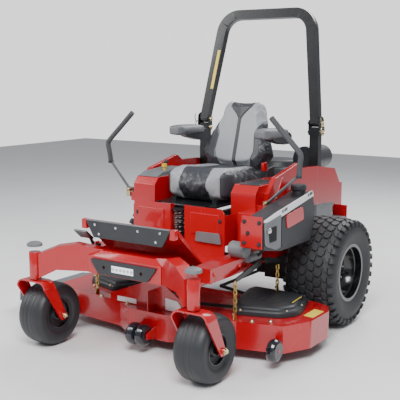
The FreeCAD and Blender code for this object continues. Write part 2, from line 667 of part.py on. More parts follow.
def blade(name, x, y):
    """A blade with raised wing tips, its spindle shaft and the pulley on top."""
    low, high = d.blade_low, d.blade_low + d.blade_thick
    bar = common("blade_bar", rod("sweep", "Z", (x, y), d.blade_radius, low, high + 30),
                 fuse("bar", box("flat", (x - d.blade_radius, x + d.blade_radius),
                                 (y - d.blade_width / 2, y + d.blade_width / 2), (low, high)),
                      wing(x, y, high, 1), wing(x, y, high, -1)))
    shaft = rod("shaft", "Z", (x, y), d.spindle_shaft, low, d.belt_low + d.belt_height + 6)
    bolt = rod("blade_bolt", "Z", (x, y), 20, low - 12, low)
    sheave = rod("sheave", "Z", (x, y), d.pulley_radius - 3, d.belt_low - 2, d.belt_low + d.belt_height + 2)
    node(fuse("cutter", bar, shaft, bolt, sheave), "blade_" + name)


def wing(x, y, high, end):
    """The lifted sail at one end of a blade's trailing edge."""
    tip = (x + 120 * end, x + d.blade_radius * end)
    low, far = (tip if end > 0 else tip[::-1])
    edge = y + d.blade_width / 2 * end
    band = (edge - 8, edge) if end > 0 else (edge, edge + 8)
    return box("wing", (low, far), band, (high - 1, high + 22))


def belt_covers():
    """Moulded covers over the outer spindles, open below and towards the middle for the belt."""
    covers = []
    for side in SIDES.values():
        x, y = d.spindle_x, d.spindle_y
        cover = prism("belt_cover", "XY",
                      mirrored(side, [(258, d.deck_rear - 103), (333, y - 100), (400, y - 190),
                                      (x + 132, y - 115), (x + 186, y - 35), (x + 182, y + 33),
                                      (x + 115, d.deck_rear - 22), (x - 10, d.deck_rear - 7),
                                      (240, d.deck_rear - 12)]),
                      d.deck_high + 1, d.cover_high, rounds=[(28, [2, 3, 4, 5, 6])], wall=3, open_side="low")
        mouth = box("belt_mouth", sided(side, 220, 360), (d.deck_rear - 420, d.deck_rear + 5),
                    (d.deck_high, d.cover_high - 6))
        covers.append(cut("cover", cover, mouth))
    node(group("covers", *covers), "belt_covers")


def deck_belt():
    """One endless belt round the three blade pulleys and back to the clutch."""
    r = d.pulley_radius + 1
    x, y, cy = d.spindle_x, d.spindle_y, d.centre_spindle_y
    half = [(r, d.engine_y + r), (r, d.deck_rear - 60), (x - 40, y + r + 12), (x + r, y + r - 8), (x + r, y - r),
            (x - r * 0.6, y - r - 14), (r * 1.2, cy - r)]
    path = half + [(-a, b) for a, b in reversed(half)]
    low, high = d.belt_low, d.belt_low + d.belt_height
    inner = prism("belt_inside", "XY", path, low - 1, high + 1, rounds=[(34, [0, 13])])
    grown = [(a + d.belt_width * sx, b + d.belt_width * sy) for (a, b), sx, sy in zip(
        half, (1, 1, 0, 1, 1, 0, 0), (1, 1, 1, 1, -1, -1, -1))]
    outer_path = grown + [(-a, b) for a, b in reversed(grown)]
    outer = prism("belt_outside", "XY", outer_path, low, high, rounds=[(44, [0, 13])])
    node(cut("belt", outer, inner), "drive_belt")


def deck_chains():
    """Four hanging straps of chain, each with the foot that bolts it down."""
    parts = []
    for side in SIDES.values():
        for y, low in ((d.chain_front, d.deck_high), (d.chain_rear, d.cover_high)):
            x = d.chain_x * side
            parts.append(fuse("chain", rod("chain_run", "Z", (x, y), 7, low + 10, d.lift_z - 57),
                              box("chain_foot", (x - 14, x + 14), (y - 3, y + 3), (low, low + 40))))
    node(group("chains", *parts), "lift_chains")


def deflector():
    """The hinged grass deflector outside the discharge opening."""
    root = -d.deck_half - 3
    plate = prism("deflector_plate", "XZ",
                  [(root, d.deck_high - 22), (root, d.deck_high - 10), (root - 120, d.deck_high - 22),
                   (root - d.deflector_reach + 5, d.deck_low + 46), (root - d.deflector_reach, d.deck_low - 15),
                   (root - d.deflector_reach + 8, d.deck_low - 15),
                   (root - d.deflector_reach + 13, d.deck_low + 40), (root - 120, d.deck_high - 32)],
                  -810, -470)
    pin = rod("hinge_pin", "Y", (root - 6, d.deck_high - 12), 6, -820, -460)
    node(fuse("chute", plate, pin), "discharge_deflector")


def lift_linkage():
    """Foot pedal, cross shafts and the arms that raise the deck at its front and rear."""
    x = d.chain_x
    rear_y = d.lift_y + 80
    front = [rod("lift_shaft", "X", (d.lift_y, d.lift_z), 10, -x - 20, x + 20)]
    rear = [rod("rear_shaft", "X", (rear_y, d.lift_z), 10, -x - 20, x + 20)]
    tip, low = d.chain_front - 12, d.lift_z - 50
    for side in SIDES.values():
        front.append(prism("front_arm_link", "YZ",
                           [(tip, low), (tip + 22, low), (d.lift_y + 14, d.lift_z - 14),
                            (d.lift_y + 14, d.lift_z + 14), (d.lift_y - 14, d.lift_z + 14), (tip, low + 18)],
                           *sided(side, x + 9, x + 17)))
        rear.append(prism("rear_arm_link", "YZ",
                          [(rear_y - 14, d.lift_z - 14), (d.chain_rear + 10, d.lift_z - 40),
                           (d.chain_rear + 10, d.lift_z - 22), (rear_y + 14, d.lift_z + 14),
                           (rear_y - 14, d.lift_z + 14)], *sided(side, x + 9, x + 17)))
    node(fuse("front_lift", *front), "front_lift_arms")
    node(fuse("rear_lift", *rear), "rear_lift_arms")
    x, y, z = -d.pedal_x, d.pedal_y, d.pedal_z
    pedal = [rod("pedal_pin", "X", (y, z), 8, x - 16, x + 30),
             prism("pedal_lever", "YZ", [(y - 12, z - 8), (y + 12, z - 8), (y - 34, z + 51), (y - 46, z + 51)],
                   x - 16, x - 8),
             prism("pedal_pad", "YZ", [(y - 74, z + 76), (y - 20, z + 30), (y - 14, z + 37), (y - 68, z + 83)],
                   x - 90, x - 2)]
    node(fuse("pedal", *pedal), "lift_pedal")


# ---------------------------------------------------------------- operator platform
def platform():
    """The sprung floor pan, its black toe panel, and the pod that carries the seat."""
    half, low = d.floor_half, d.floor_high
    slope = prism("floor", "YZ",
                  [(d.floor_front, d.toe_high), (d.floor_front + 16, d.toe_high), (d.floor_bend + 3, low),
                   (d.floor_rear, low), (d.floor_rear, low - 5), (d.floor_bend, low - 5),
                   (d.floor_front + 8, d.toe_high - 8), (d.floor_front, d.toe_high - 8)], -half, half)
    parts = [slope]
    for side in SIDES.values():
        parts.append(prism("floor_lip", "YZ",
                           [(d.floor_front + 20, d.toe_high - 4), (d.floor_front + 20, d.toe_high - 34),
                            (d.floor_bend + 30, low - 36), (d.floor_rear, low - 36), (d.floor_rear, low),
                            (d.floor_bend + 4, low)], *sided(side, half, half + d.sheet)))
    node(fuse("floor_pan", *parts), "floor_pan")
    toe = prism("toe_panel", "XZ", [(-216, 594), (216, 594), (264, d.toe_high - 6), (-264, d.toe_high - 6)],
                d.floor_front - 14, d.floor_front - 2, rounds=[(8, [0, 1])])
    cap = box("toe_cap", (-272, 272), (d.floor_front - 14, d.floor_front), (d.toe_high - 6, d.toe_high))
    node(fuse("toe_board", toe, cap), "footplate")
    pods = []
    for side in SIDES.values():
        face = prism("pod_face", "XZ",
                     mirrored(side, [(d.slot_half, 530), (76, 424), (d.pod_half, 424), (d.pod_half, 700),
                                     (d.pod_half - 20, d.pod_high), (d.slot_half, d.pod_high)]),
                     d.pod_front, d.pod_front + d.sheet)
        boss = box("pod_boss", sided(side, 88, d.pod_half - 36), (d.pod_front - 5, d.pod_front), (580, 690))
        cheek = box("pod_cheek", sided(side, d.pod_half - d.sheet, d.pod_half),
                    (d.pod_front, d.pod_front + 110), (530, 690))
        web = box("slot_web", sided(side, d.slot_half, d.slot_half + d.sheet),
                  (d.pod_front, d.pod_front + 36), (530, d.pod_high))
        pods.append(fuse("pod", face, boss, cheek, web))
    node(group("pod_pair", *pods), "front_pod")


def suspension():
    """Coil spring between the frame's front cross bar and the platform, and the frame that carries the seat."""
    turns = 7
    y, wire = d.spring_y, d.spring_wire
    coil = doc.addObject("Part::Feature", "coil")
    rise = (d.spring_high - d.spring_low - wire * 2 - 2).value
    middle = (d.spring_radius - wire).value
    helix = Part.makeHelix(rise / turns, rise, middle)
    ring = Part.Wire([Part.Circle(Vector(middle, 0, 0), Vector(0, 1, 0), wire.value).toShape()])
    coil.Shape = Part.Wire(helix).makePipeShell([ring], True, True)
    put(coil, 0, y, d.spring_low + wire)
    node(coil, "suspension_spring")
    rear = y + d.spring_radius + 44
    bar = hollow_bar("spring_bar", "X", (-d.rail_inner, d.rail_inner), (rear - 40, rear),
                     (d.rail_low, d.rail_low + 30))
    tower = [box("spring_shelf", (-34, 34), (y - 18, rear - 40), (d.rail_low, d.rail_low + d.tube_wall)),
             rod("spring_post", "Z", (0, y), 14, d.rail_low + d.tube_wall, d.spring_low - 8),
             rod("spring_seat", "Z", (0, y), d.spring_radius + 4, d.spring_low - 8, d.spring_low - 2),
             rod("damper_body", "Z", (0, y), 15, d.spring_low - 2, d.spring_low + 110)]
    node(group("damper", bar, fuse("spring_tower", *tower)), "damper_tube")
    top, front, lug = d.spring_high, d.pod_front + 64, d.tilt_y + 10.5
    upper = [rod("damper_rod", "Z", (0, y), 7, d.spring_low + 168, top + 6),
             rod("upper_seat", "Z", (0, y), d.spring_radius + 4, top + 1, top + 7),
             box("seat_beam", (-210, 210), (front, front + 28), (top - 6, top + 6)),
             box("beam_nose", (-38, 38), (y - 20, front + 2), (top + 7, top + 12)),
             box("beam_foot", (-38, 38), (front, front + 28), (top, top + 12)),
             box("frame_back", (-210, 210), (-166, -140), (top - 30, top))]
    for side in SIDES.values():
        upper.append(box("frame_side", sided(side, 185, 210), (front, -140), (top - 30, top)))
        upper.append(box("pod_tie", sided(side, 185, d.pod_half - d.sheet), (front, front + 28),
                         (top - 30, top - 12)))
        upper.append(box("tilt_lug", sided(side, d.tilt_half + 2, d.tilt_half + 10), (d.tilt_y - 12, lug),
                         (top - 6, d.tilt_z + 12)))
        upper.append(box("lug_tie", sided(side, d.tilt_half + 2, d.tilt_half + 10), (lug - 1, front + 1),
                         (top - 6, top + 6)))
        upper.append(rod("plate_rest", "Z", (size(150) * side, -153), 12, top, d.tilt_z - 4.4))
    bore = rod("tilt_bore", "X", (d.tilt_y, d.tilt_z), 7 + d.running_fit, -d.tilt_half - 11, d.tilt_half + 11)
    node(cut("seat_carrier", fuse("carrier_bars", *upper), bore), "seat_frame")


# ---------------------------------------------------------------- seat
def seat():
    """Tilting seat plate, cushion, back and the two folding armrests."""
    plate = box("tilt_plate", (-196, 196), (d.tilt_y + 24, -150), (d.tilt_z - 4, d.tilt_z + 4))
    hinge = rod("tilt_pin", "X", (d.tilt_y, d.tilt_z), 7, -d.tilt_half - 12, d.tilt_half + 12)
    knuckle = box("tilt_knuckle", (-d.tilt_half, d.tilt_half), (d.tilt_y, d.tilt_y + 25),
                  (d.tilt_z - 4, d.tilt_z + 4))
    rails = [box("slide_rail", sided(side, 120, 150), (-540, -190), (d.tilt_z + 4, d.seat_low + 5.5))
             for side in SIDES.values()]
    node(fuse("tilting_plate", plate, hinge, knuckle, *rails), "seat_plate")
    low, high, front, rear = d.seat_low, d.seat_high, d.seat_front, d.seat_rear
    cushion = prism("cushion", "YZ",
                    [(front, low + 6), (rear, low + 6), (rear + 26, high - 12), (rear - 120, high - 6),
                     (front + 130, d.seat_crown - 8), (front + 50, d.seat_crown),
                     (front - 6, d.seat_crown - 50)],
                    -d.seat_half, d.seat_half, rounds=[(30, [5, 6])])
    node(cushion, "seat_cushion")
    lean = math.radians(d.back_lean.value)
    base = high - 8
    rise = (d.back_high - base) / math.cos(lean)
    back = prism("back", "XZ",
                 [(-195, 14), (195, 14), (236, 70), (228, 130), (186, 215), (136, rise), (-136, rise),
                  (-186, 215), (-228, 130), (-236, 70)], -d.back_thick, 0,
                 rounds=[(40, [5, 6]), (30, [0, 1])])
    put(back, 0, rear + 64, base, Rotation(Vector(1, 0, 0), -d.back_lean.value))
    shift = box("back_room", (-260, 260), (rear - 200, rear + 200), (base - 100, base + 18))
    node(cut("seat_back_pad", back, shift), "seat_back")
    for name, side in SIDES.items():
        y, z = d.arm_pivot_y, d.arm_pivot_z
        pad = prism("arm_pad", "YZ",
                    [(y - d.arm_length, z - 8), (y - 20, z - 8), (y + 5, z + 12), (y - 10, z + d.arm_height - 14),
                     (y - d.arm_length + 20, z + d.arm_height - 8), (y - d.arm_length, z + d.arm_height - 30)],
                    *sided(side, d.arm_inner, d.arm_inner + d.arm_width), rounds=[(14, [3, 4, 5])])
        beam = prism("arm_beam", "YZ", [(y - 170, z - 7), (y - 60, z - 42), (y + 16, z - 26), (y + 16, z - 7)],
                     *sided(side, d.arm_inner + 18, d.arm_inner + 60))
        pin = rod("arm_pin", "X", (y, z - 26), 9, *sided(side, 213, d.arm_inner + 60))
        node(fuse("armrest", pad, beam, pin), "armrest_" + name)


# ---------------------------------------------------------------- consoles, levers and tank
def consoles():
    """Fender and console on each side; the left one also has the front column."""
    y = d.lever_y
    for name, side in SIDES.items():
        skin, low, high = d.sheet, d.rail_high, d.console_high
        cover = prism("console_cover", "YZ",
                      [(-560, low), (-150, low), (-150, high), (-525, high), (-560, high - 40)],
                      *sided(side, d.console_inner, d.console_outer))
        room = prism("console_room", "YZ",
                     [(-560 + skin, low - 1), (-150 - skin, low - 1), (-150 - skin, high - skin),
                      (-523, high - skin), (-560 + skin, high - 42)],
                     *sided(side, d.console_inner + skin, d.console_outer - skin))
        parts = [cut("console_shell", cover, room)]
        profile = [(-470, 690), (-470, 790), (-392, 865), (-130, 921), (-80, 888), (111, 881), (111, 655),
                   (-330, 655)]
        hollow = [(-466, 694), (-466, 788), (-390, 861), (-132, 916), (-82, 884), (107, 877), (107, 659),
                  (-329, 659)]
        parts.append(cut("fender", prism("fender_skin", "YZ", profile, *sided(side, d.console_outer, d.fender_x)),
                         prism("fender_room", "YZ", hollow,
                               *sided(side, d.console_outer + skin, d.fender_x - skin))))
        ear = box("lever_bracket", sided(side, d.console_outer, d.lever_x - 17), (y - 14, y + 14),
                  (d.lever_hinge - 34, d.lever_hinge + 14))
        bore = rod("lever_bore", "X", (y, d.lever_hinge), d.lever_pin + d.running_fit,
                   *sided(side, d.console_outer - 1, d.lever_x))
        parts.append(cut("lever_ear", ear, bore))
        if side > 0:
            column = box("column_post", (d.column_inner, d.column_outer), (d.column_front, y - 2),
                         (d.rail_high + 16, d.column_high))
            parts.append(cut("column", column, cover, ear))
            parts.append(prism("tank_shoulder", "YZ",
                               [(-505, 700), (-505, 768), (-431, 880), (-333, 834), (-300, 780), (-300, 700)],
                               d.tank_inner - 8, d.tank_inner - 2))
            parts.append(box("shoulder_tie", (d.fender_x, d.tank_inner - 8), (-330, -306), (700, 712)))
            web = d.tank_inner - 16
            parts.append(fuse("tank_bracket", box("bracket_face", (web + 6, d.tank_outer), (-832, -826), (575, 735)),
                              box("bracket_web", (web, web + 6), (-832, d.column_front), (575, 700)),
                              box("bracket_tie", (d.column_outer, web + 6), (d.column_front, d.column_front + 6),
                                  (575, 700))))
        node(group("console", *parts), "console_" + name)
    x = -d.console_outer
    panel = prism("panel", "YZ", [(-530, d.console_high + 0.1), (-240, d.console_high + 0.1),
                                  (-262, d.console_high + 34), (-478, d.console_high + 22)],
                  x + 12, -d.console_inner - 6)
    slot = box("throttle_slot", (x + 34, x + 46), (-350, -250), (d.console_high + 4, d.console_high + 50))
    knob_bore = rod("knob_bore", "Z", (x + 100, -400), 9.2, d.console_high + 6, d.console_high + 50)
    node(cut("control_box", panel, slot, knob_bore), "control_panel")
    lever = [rod("throttle_pin", "X", (-300, d.console_high + 12), 4, x + 35, x + 45),
             rod("throttle_stem", "Z", (x + 40, -300), 3, d.console_high + 12, 886)]
    ball = doc.addObject("Part::Sphere", "throttle_ball")
    ball.Radius = 13
    put(ball, x + 40, -300, 895)
    node(fuse("throttle", *lever, ball), "throttle_lever")
    pto = [rod("knob_stem", "Z", (x + 100, -400), 9, d.console_high + 18, d.console_high + 46),
           rod("knob_head", "Z", (x + 100, -400), 16, d.console_high + 44, d.console_high + 62)]
    node(fuse("knob", *pto), "blade_switch_knob")


def levers():
    """Each drive lever: a base that rocks fore and aft, and an arm that swings out to park."""
    y, hinge, swing = d.lever_y, d.lever_hinge, d.lever_swing
    for name, side in SIDES.items():
        x = d.lever_x * side
        base = [rod("rock_pin", "X", (y, hinge), d.lever_pin, *sided(side, d.console_outer + 1, d.lever_x + 14)),
                box("rock_block", (x - 14, x + 14), (y - 18, y + 18), (hinge - 12, hinge + 12)),
                box("ear_front", (x - 14, x + 14), (y - 18, y - 12), (hinge, swing + 12)),
                box("ear_rear", (x - 14, x + 14), (y + 12, y + 18), (hinge, swing + 12)),
                rod("swing_pin", "Y", (x, swing), 5, y - 20, y + 20)]
        node(fuse("lever_base", *base), "lever_base_" + name)
        low, bend, top = lever_points(side)
        foot = (x, y, swing)
        shaft = tube("lever_tube", [foot, low, bend, top], d.lever_radius, 60)
        eye = rod("lever_eye", "Y", (x, swing), 11, y - 11, y + 11)
        bore = rod("lever_eye_bore", "Y", (x, swing), 5 + d.running_fit, y - 12, y + 12)
        node(cut("lever", fuse("lever_parts", shaft, eye), bore), "lever_" + name)


def lever_points(side):
    """Bottom of the grip, its bend, and its top, with the lever in its outer, parked place."""
    return [(size(622) * side, d.lever_y + 30, 904), (size(635) * side, d.lever_y + 21, 1011),
            (size(460) * side, d.lever_y + 32, 1186)]


def fuel_tank():
    """Moulded tank on the left with its filler neck, and the screw cap."""
    outline_yz = [(-812, 568), (-824, 712), (-305, 799), (-264, 692), (-310, 537), (-641, 536)]
    tank = prism("tank", "YZ", outline_yz, d.tank_inner, d.tank_outer, rounds=[(18, [0, 1, 2, 3, 4])])
    neck = rod("filler_neck", "Z", (545, -350), 34, 770, 806)
    node(fuse("tank_body", tank, neck), "fuel_tank")
    cap = turned("cap", "Z", (545, -350), [(0, 807), (40, 807), (42, 812), (42, 828), (36, 836), (0, 836)])
    node(cap, "fuel_cap")


# ---------------------------------------------------------------- roll bar
def hoop_body():
    """The hoop standing on its hinge line, narrower at the top and leaning back."""
    half, depth, low = d.rops_section / 2, d.rops_depth / 2, d.rops_x
    rise = (d.rops_high - d.rops_pivot) / math.cos(math.radians(d.rops_lean.value))
    top = low - d.rops_taper
    outside = [(low + half, 0), (top + half, rise)]
    inside = [(top - half, rise - d.rops_section), (low - half, 0)]
    points = outside + mirrored(-1, outside[::-1]) + mirrored(-1, inside[::-1]) + inside
    body = prism("hoop", "XZ", points, -depth, depth,
                 rounds=[(d.rops_round, [1, 2]), (d.rops_round - d.rops_section, [5, 6])])
    turn = Rotation(Vector(1, 0, 0), -d.rops_lean.value)
    back = turn.multVec(Vector(0, 1, 0))
    return put(body, 0, d.rops_y + depth * back.y, d.rops_pivot + depth * back.z, turn)


def roll_bar():
    """Two square-tube posts with hinge ears, and the hoop that folds back about their pins."""
    parts = []
    half, depth = d.rops_section / 2, d.rops_depth / 2
    for side in SIDES.values():
        x = d.rops_x * side
        span = (d.rops_y - depth, d.rops_y + depth)
        top = d.rops_pivot - depth - 3
        parts.append(hollow_bar("post", "Z", (x - half, x + half), span, (660, top)))
        parts.append(hollow_bar("post_foot", "Z", sided(side, 340, 395), span, (d.rail_high + 8, 655)))
        parts.append(box("post_plate", (x - half, x + half), span, (655, 660)))
        clevis = [rod("hinge_pin", "X", (d.rops_y, d.rops_pivot), d.rops_pin, x - half - 16, x + half + 16)]
        for ear in (-half - 9, half + 5):
            clevis.append(box("ear", (x + ear, x + ear + 4), span, (d.rops_pivot - 70, d.rops_pivot + 18)))
        for ear in (-half - 9, half):
            clevis.append(box("ear_pad", (x + ear, x + ear + 9), span, (d.rops_pivot - 70, d.rops_pivot - 40)))
        parts.append(fuse("clevis", *clevis))
    node(group("post_pair", *parts), "rops_posts")
    bars, bores = [hoop_body()], []
    for side in SIDES.values():
        x = d.rops_x * side
        bars.append(rod("hoop_end", "X", (d.rops_y, d.rops_pivot), depth, x - half, x + half))
        bores.append(rod("hoop_bore", "X", (d.rops_y, d.rops_pivot), d.rops_pin + d.running_fit,
                         x - half - 4, x + half + 4))
    node(cut("folding_hoop", fuse("hoop_parts", *bars), *bores), "rops_hoop")


# ---------------------------------------------------------------- assembly
main_frame()
front_frame()
caster_bearings()
lights()
for wheel_name, wheel_side in SIDES.items():
    drive_wheel(wheel_name, wheel_side)
    caster(wheel_name, wheel_side)
transaxles()
engine()
clutch()
rear_guard()
deck_shell()
rollers()
spindle_housings()
for blade_name, (blade_x, blade_y) in spindles.items():
    blade(blade_name, blade_x, blade_y)
belt_covers()
deck_belt()
deck_chains()
deflector()
lift_linkage()
platform()
suspension()
seat()
consoles()
levers()
fuel_tank()
roll_bar()

doc.recompute()
for item in doc.Objects:
    if set(item.State) & {"Invalid", "Error"}:
        raise SystemExit("failed object: %s %s" % (item.Name, item.State))
for sub_part in NODES:
    shape = sub_part.Shape
    if shape.isNull() or not shape.isValid() or not shape.Solids:
        raise SystemExit("bad shape: " + sub_part.Label)
os.makedirs("parts", exist_ok=True)
for sub_part in NODES:
    sub_part.Shape.exportStep("parts/%s.step" % sub_part.Label)
print("%d nodes" % len(NODES))
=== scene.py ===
# %% [markdown]
# # A zero turn mower, dressed for its portrait
# The engineering model already says where every tube, plate and wheel sits. This lesson keeps that model as a
# fixed frame and gives it its looks: paint, rubber, sewn vinyl, moulded plastic and the small hardware that a
# maker bolts on. Each piece is told which moving body it rides on, so the mower still works when it is posed.

# %% Load the frame
import json
import math

import bmesh
import bpy
from mathutils import Matrix, Vector


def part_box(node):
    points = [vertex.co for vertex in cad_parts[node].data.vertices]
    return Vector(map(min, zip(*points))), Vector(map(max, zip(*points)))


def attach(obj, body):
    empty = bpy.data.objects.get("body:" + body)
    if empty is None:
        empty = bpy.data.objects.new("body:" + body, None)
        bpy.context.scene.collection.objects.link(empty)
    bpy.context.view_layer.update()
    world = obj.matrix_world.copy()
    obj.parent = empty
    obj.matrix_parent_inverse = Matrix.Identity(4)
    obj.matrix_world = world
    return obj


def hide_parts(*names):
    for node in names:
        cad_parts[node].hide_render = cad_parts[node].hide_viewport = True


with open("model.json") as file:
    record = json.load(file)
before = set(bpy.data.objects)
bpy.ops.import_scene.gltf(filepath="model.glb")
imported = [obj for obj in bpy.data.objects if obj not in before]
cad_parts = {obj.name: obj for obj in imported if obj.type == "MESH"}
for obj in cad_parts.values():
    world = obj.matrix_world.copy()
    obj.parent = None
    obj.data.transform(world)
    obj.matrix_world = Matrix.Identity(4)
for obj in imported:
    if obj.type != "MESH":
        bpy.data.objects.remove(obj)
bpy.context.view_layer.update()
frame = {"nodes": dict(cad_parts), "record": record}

NODES = frame["nodes"]

# %% [markdown]
# ## One drawing origin
# The mower is easiest to think about from the middle of its rear axle, on the ground: X to the operator's
# left, -Y ahead, Z up, in millimetres. The two drive rims tell where that point is in the frame, so nothing
# here has to be fitted by eye.

# %% The drawing origin
rim_left, rim_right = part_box("drive_rim_left"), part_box("drive_rim_right")
MIDDLE = (rim_left[1][0] + rim_right[0][0]) / 2
AXLE = (rim_left[0][1] + rim_left[1][1]) / 2
MM = 0.001
SIDES = {"left": 1, "right": -1}


def spot(x, y, z):
    """A point given in millimetres from the rear axle, as a place in the frame."""
    return Vector((MIDDLE + x * MM, AXLE + y * MM, z * MM))


print("rear axle at", round(MIDDLE, 4), round(AXLE, 4))

# %% [markdown]
# ## Camera and studio
# A long lens from the front left corner, a little above the seat, is how such machines are shown. The floor
# is a pale sweep, and three large soft lamps give the paint long, calm highlights.

# %% Camera
camera_data = bpy.data.cameras.new("portrait")
camera_data.lens = 73.5
camera_data.sensor_width = 36
camera_data.clip_end = 100
camera = bpy.data.objects.new("portrait", camera_data)
camera.location = (2.6788, -3.9038, 1.4374)
camera.rotation_euler = (math.radians(80.89), 0, math.radians(34.17))
bpy.context.scene.collection.objects.link(camera)
bpy.context.scene.camera = camera
print("camera", [round(v, 3) for v in camera.location])

# %% Studio
world = bpy.data.worlds.new("studio")
bpy.context.scene.world = world
world.use_nodes = True
sky = world.node_tree.nodes["Background"]
sky.inputs["Color"].default_value = (0.92, 0.95, 1.0, 1)
sky.inputs["Strength"].default_value = 0.42
backdrop = world.node_tree.nodes.new("ShaderNodeBackground")
backdrop.inputs["Color"].default_value = (1, 1, 1, 1)
backdrop.inputs["Strength"].default_value = 1.5
seen = world.node_tree.nodes.new("ShaderNodeLightPath")
either = world.node_tree.nodes.new("ShaderNodeMixShader")
world.node_tree.links.new(seen.outputs["Is Camera Ray"], either.inputs["Fac"])
world.node_tree.links.new(sky.outputs["Background"], either.inputs[1])
world.node_tree.links.new(backdrop.outputs["Background"], either.inputs[2])
world.node_tree.links.new(either.outputs["Shader"], world.node_tree.nodes["World Output"].inputs["Surface"])


def soft_lamp(name, place, aim, width, power):
    """A square area lamp that looks at a point."""
    data = bpy.data.lights.new(name, "AREA")
    data.shape = "SQUARE"
    data.size = width
    data.energy = power
    lamp = bpy.data.objects.new(name, data)
    lamp.location = place
    lamp.rotation_euler = (Vector(aim) - Vector(place)).to_track_quat("-Z", "Y").to_euler()
    bpy.context.scene.collection.objects.link(lamp)


soft_lamp("key", (2.2, -3.4, 4.4), (0, -0.2, 0.5), 2.2, 330)
soft_lamp("fill", (-3.8, -2.6, 3.4), (0, -0.4, 0.5), 3.0, 170)
soft_lamp("rim", (0.6, 3.6, 4.2), (0, 0.2, 0.7), 2.6, 230)
print("three lamps and a pale sky")

# %% [markdown]
# ## Finishes
# Almost every finish on a machine is a base colour, a gloss, and two scales of unevenness: a broad one that
# shifts colour and sheen, and a fine one that is felt as grain. One recipe with a few choices covers paint,
# plastic, rubber and metal, and special surfaces get their own recipe later.

# %% The finish recipe
FINISHES = {}


def finish(name, colour, gloss, metal=0.0, grain=900, bump=0.05, mottle=0.08, patch=14, coat=0.0, dark=0.75):
    """A material with broad patches in colour and sheen, and fine grain. gloss is its roughness."""
    material = bpy.data.materials.new(name)
    material.use_nodes = True
    nodes, links = material.node_tree.nodes, material.node_tree.links
    shader = nodes["Principled BSDF"]
    shader.inputs["Metallic"].default_value = metal
    shader.inputs["Coat Weight"].default_value = coat
    shader.inputs["Coat Roughness"].default_value = 0.06
    place = nodes.new("ShaderNodeTexCoord")
    broad = nodes.new("ShaderNodeTexNoise")
    broad.inputs["Scale"].default_value = patch
    broad.inputs["Detail"].default_value = 6
    links.new(place.outputs["Object"], broad.inputs["Vector"])
    tone = nodes.new("ShaderNodeValToRGB")
    tone.color_ramp.elements[0].position = 0.3
    tone.color_ramp.elements[1].position = 0.7
    low = 1 - mottle * 2
    tone.color_ramp.elements[0].color = (colour[0] * low, colour[1] * low, colour[2] * low, 1)
    tone.color_ramp.elements[1].color = (*colour, 1)
    links.new(broad.outputs["Fac"], tone.inputs["Fac"])
    links.new(tone.outputs["Color"], shader.inputs["Base Color"])
    sheen = nodes.new("ShaderNodeMapRange")
    sheen.inputs["To Min"].default_value = gloss * dark
    sheen.inputs["To Max"].default_value = min(1, gloss * (2 - dark))
    links.new(broad.outputs["Fac"], sheen.inputs["Value"])
    links.new(sheen.outputs["Result"], shader.inputs["Roughness"])
    fine = nodes.new("ShaderNodeTexNoise")
    fine.inputs["Scale"].default_value = grain
    fine.inputs["Detail"].default_value = 4
    links.new(place.outputs["Object"], fine.inputs["Vector"])
    relief = nodes.new("ShaderNodeBump")
    relief.inputs["Strength"].default_value = bump
    relief.inputs["Distance"].default_value = 0.002
    links.new(fine.outputs["Fac"], relief.inputs["Height"])
    links.new(relief.outputs["Normal"], shader.inputs["Normal"])
    FINISHES[name] = material
    return material


finish("red_paint", (0.46, 0.0015, 0.006), 0.26, grain=220, bump=0.03, mottle=0.03, patch=3, coat=0.7)
finish("black_paint", (0.010, 0.011, 0.013), 0.32, grain=500, bump=0.08, mottle=0.10, patch=8, coat=0.25)
finish("black_panel", (0.030, 0.033, 0.038), 0.42, grain=900, bump=0.16, mottle=0.10)
finish("black_plastic", (0.026, 0.029, 0.034), 0.40, grain=1100, bump=0.22, mottle=0.10)
finish("grey_plastic", (0.16, 0.17, 0.18), 0.45, grain=1000, bump=0.18, mottle=0.08)
finish("wheel_black", (0.006, 0.006, 0.008), 0.22, grain=300, bump=0.05, coat=0.6)
finish("spring_steel", (0.012, 0.012, 0.014), 0.20, grain=250, bump=0.04, coat=0.8)
finish("lever_steel", (0.075, 0.078, 0.085), 0.34, grain=400, bump=0.05, coat=0.2)
finish("bearing_steel", (0.62, 0.62, 0.64), 0.24, metal=1.0, grain=1500, bump=0.06)
finish("blade_steel", (0.34, 0.34, 0.36), 0.38, metal=1.0, grain=700, bump=0.16, mottle=0.20)
finish("plated_steel", (0.74, 0.66, 0.44), 0.28, metal=1.0, grain=900, bump=0.08, mottle=0.14, patch=30)
finish("silver_plate", (0.72, 0.72, 0.74), 0.24, metal=1.0, grain=900, bump=0.07, mottle=0.10, patch=30)
finish("chain_zinc", (0.80, 0.56, 0.18), 0.30, metal=1.0, grain=800, bump=0.12, mottle=0.16, patch=40)
finish("cast_case", (0.055, 0.056, 0.060), 0.55, metal=0.2, grain=420, bump=0.50, mottle=0.14)
finish("engine_alloy", (0.30, 0.31, 0.32), 0.46, metal=0.8, grain=520, bump=0.40, mottle=0.16)
finish("belt_rubber", (0.016, 0.016, 0.016), 0.75, grain=1300, bump=0.45, mottle=0.12)
finish("caster_rubber", (0.024, 0.026, 0.030), 0.50, grain=650, bump=0.16, mottle=0.12, patch=9)
finish("tyre", (0.030, 0.032, 0.036), 0.56, grain=520, bump=0.30, mottle=0.16, patch=12)
finish("roller_plastic", (0.012, 0.014, 0.020), 0.16, grain=300, bump=0.04, coat=0.6)
finish("knob_yellow", (0.72, 0.48, 0.02), 0.32, grain=700, bump=0.08, coat=0.3)
finish("foam", (0.070, 0.074, 0.080), 0.80, grain=1800, bump=0.75, mottle=0.10)
finish("sticker_yellow", (0.83, 0.62, 0.06), 0.35, grain=600, bump=0.03, mottle=0.05)
finish("sticker_white", (0.80, 0.81, 0.82), 0.33, grain=600, bump=0.03, mottle=0.04)
# A near-black finish for holes and slots that are not cut: painted shade in place of the hole.
finish("painted_hole_shade", (0.004, 0.004, 0.005), 0.70, grain=600, bump=0.10)
print(len(FINISHES), "finishes")
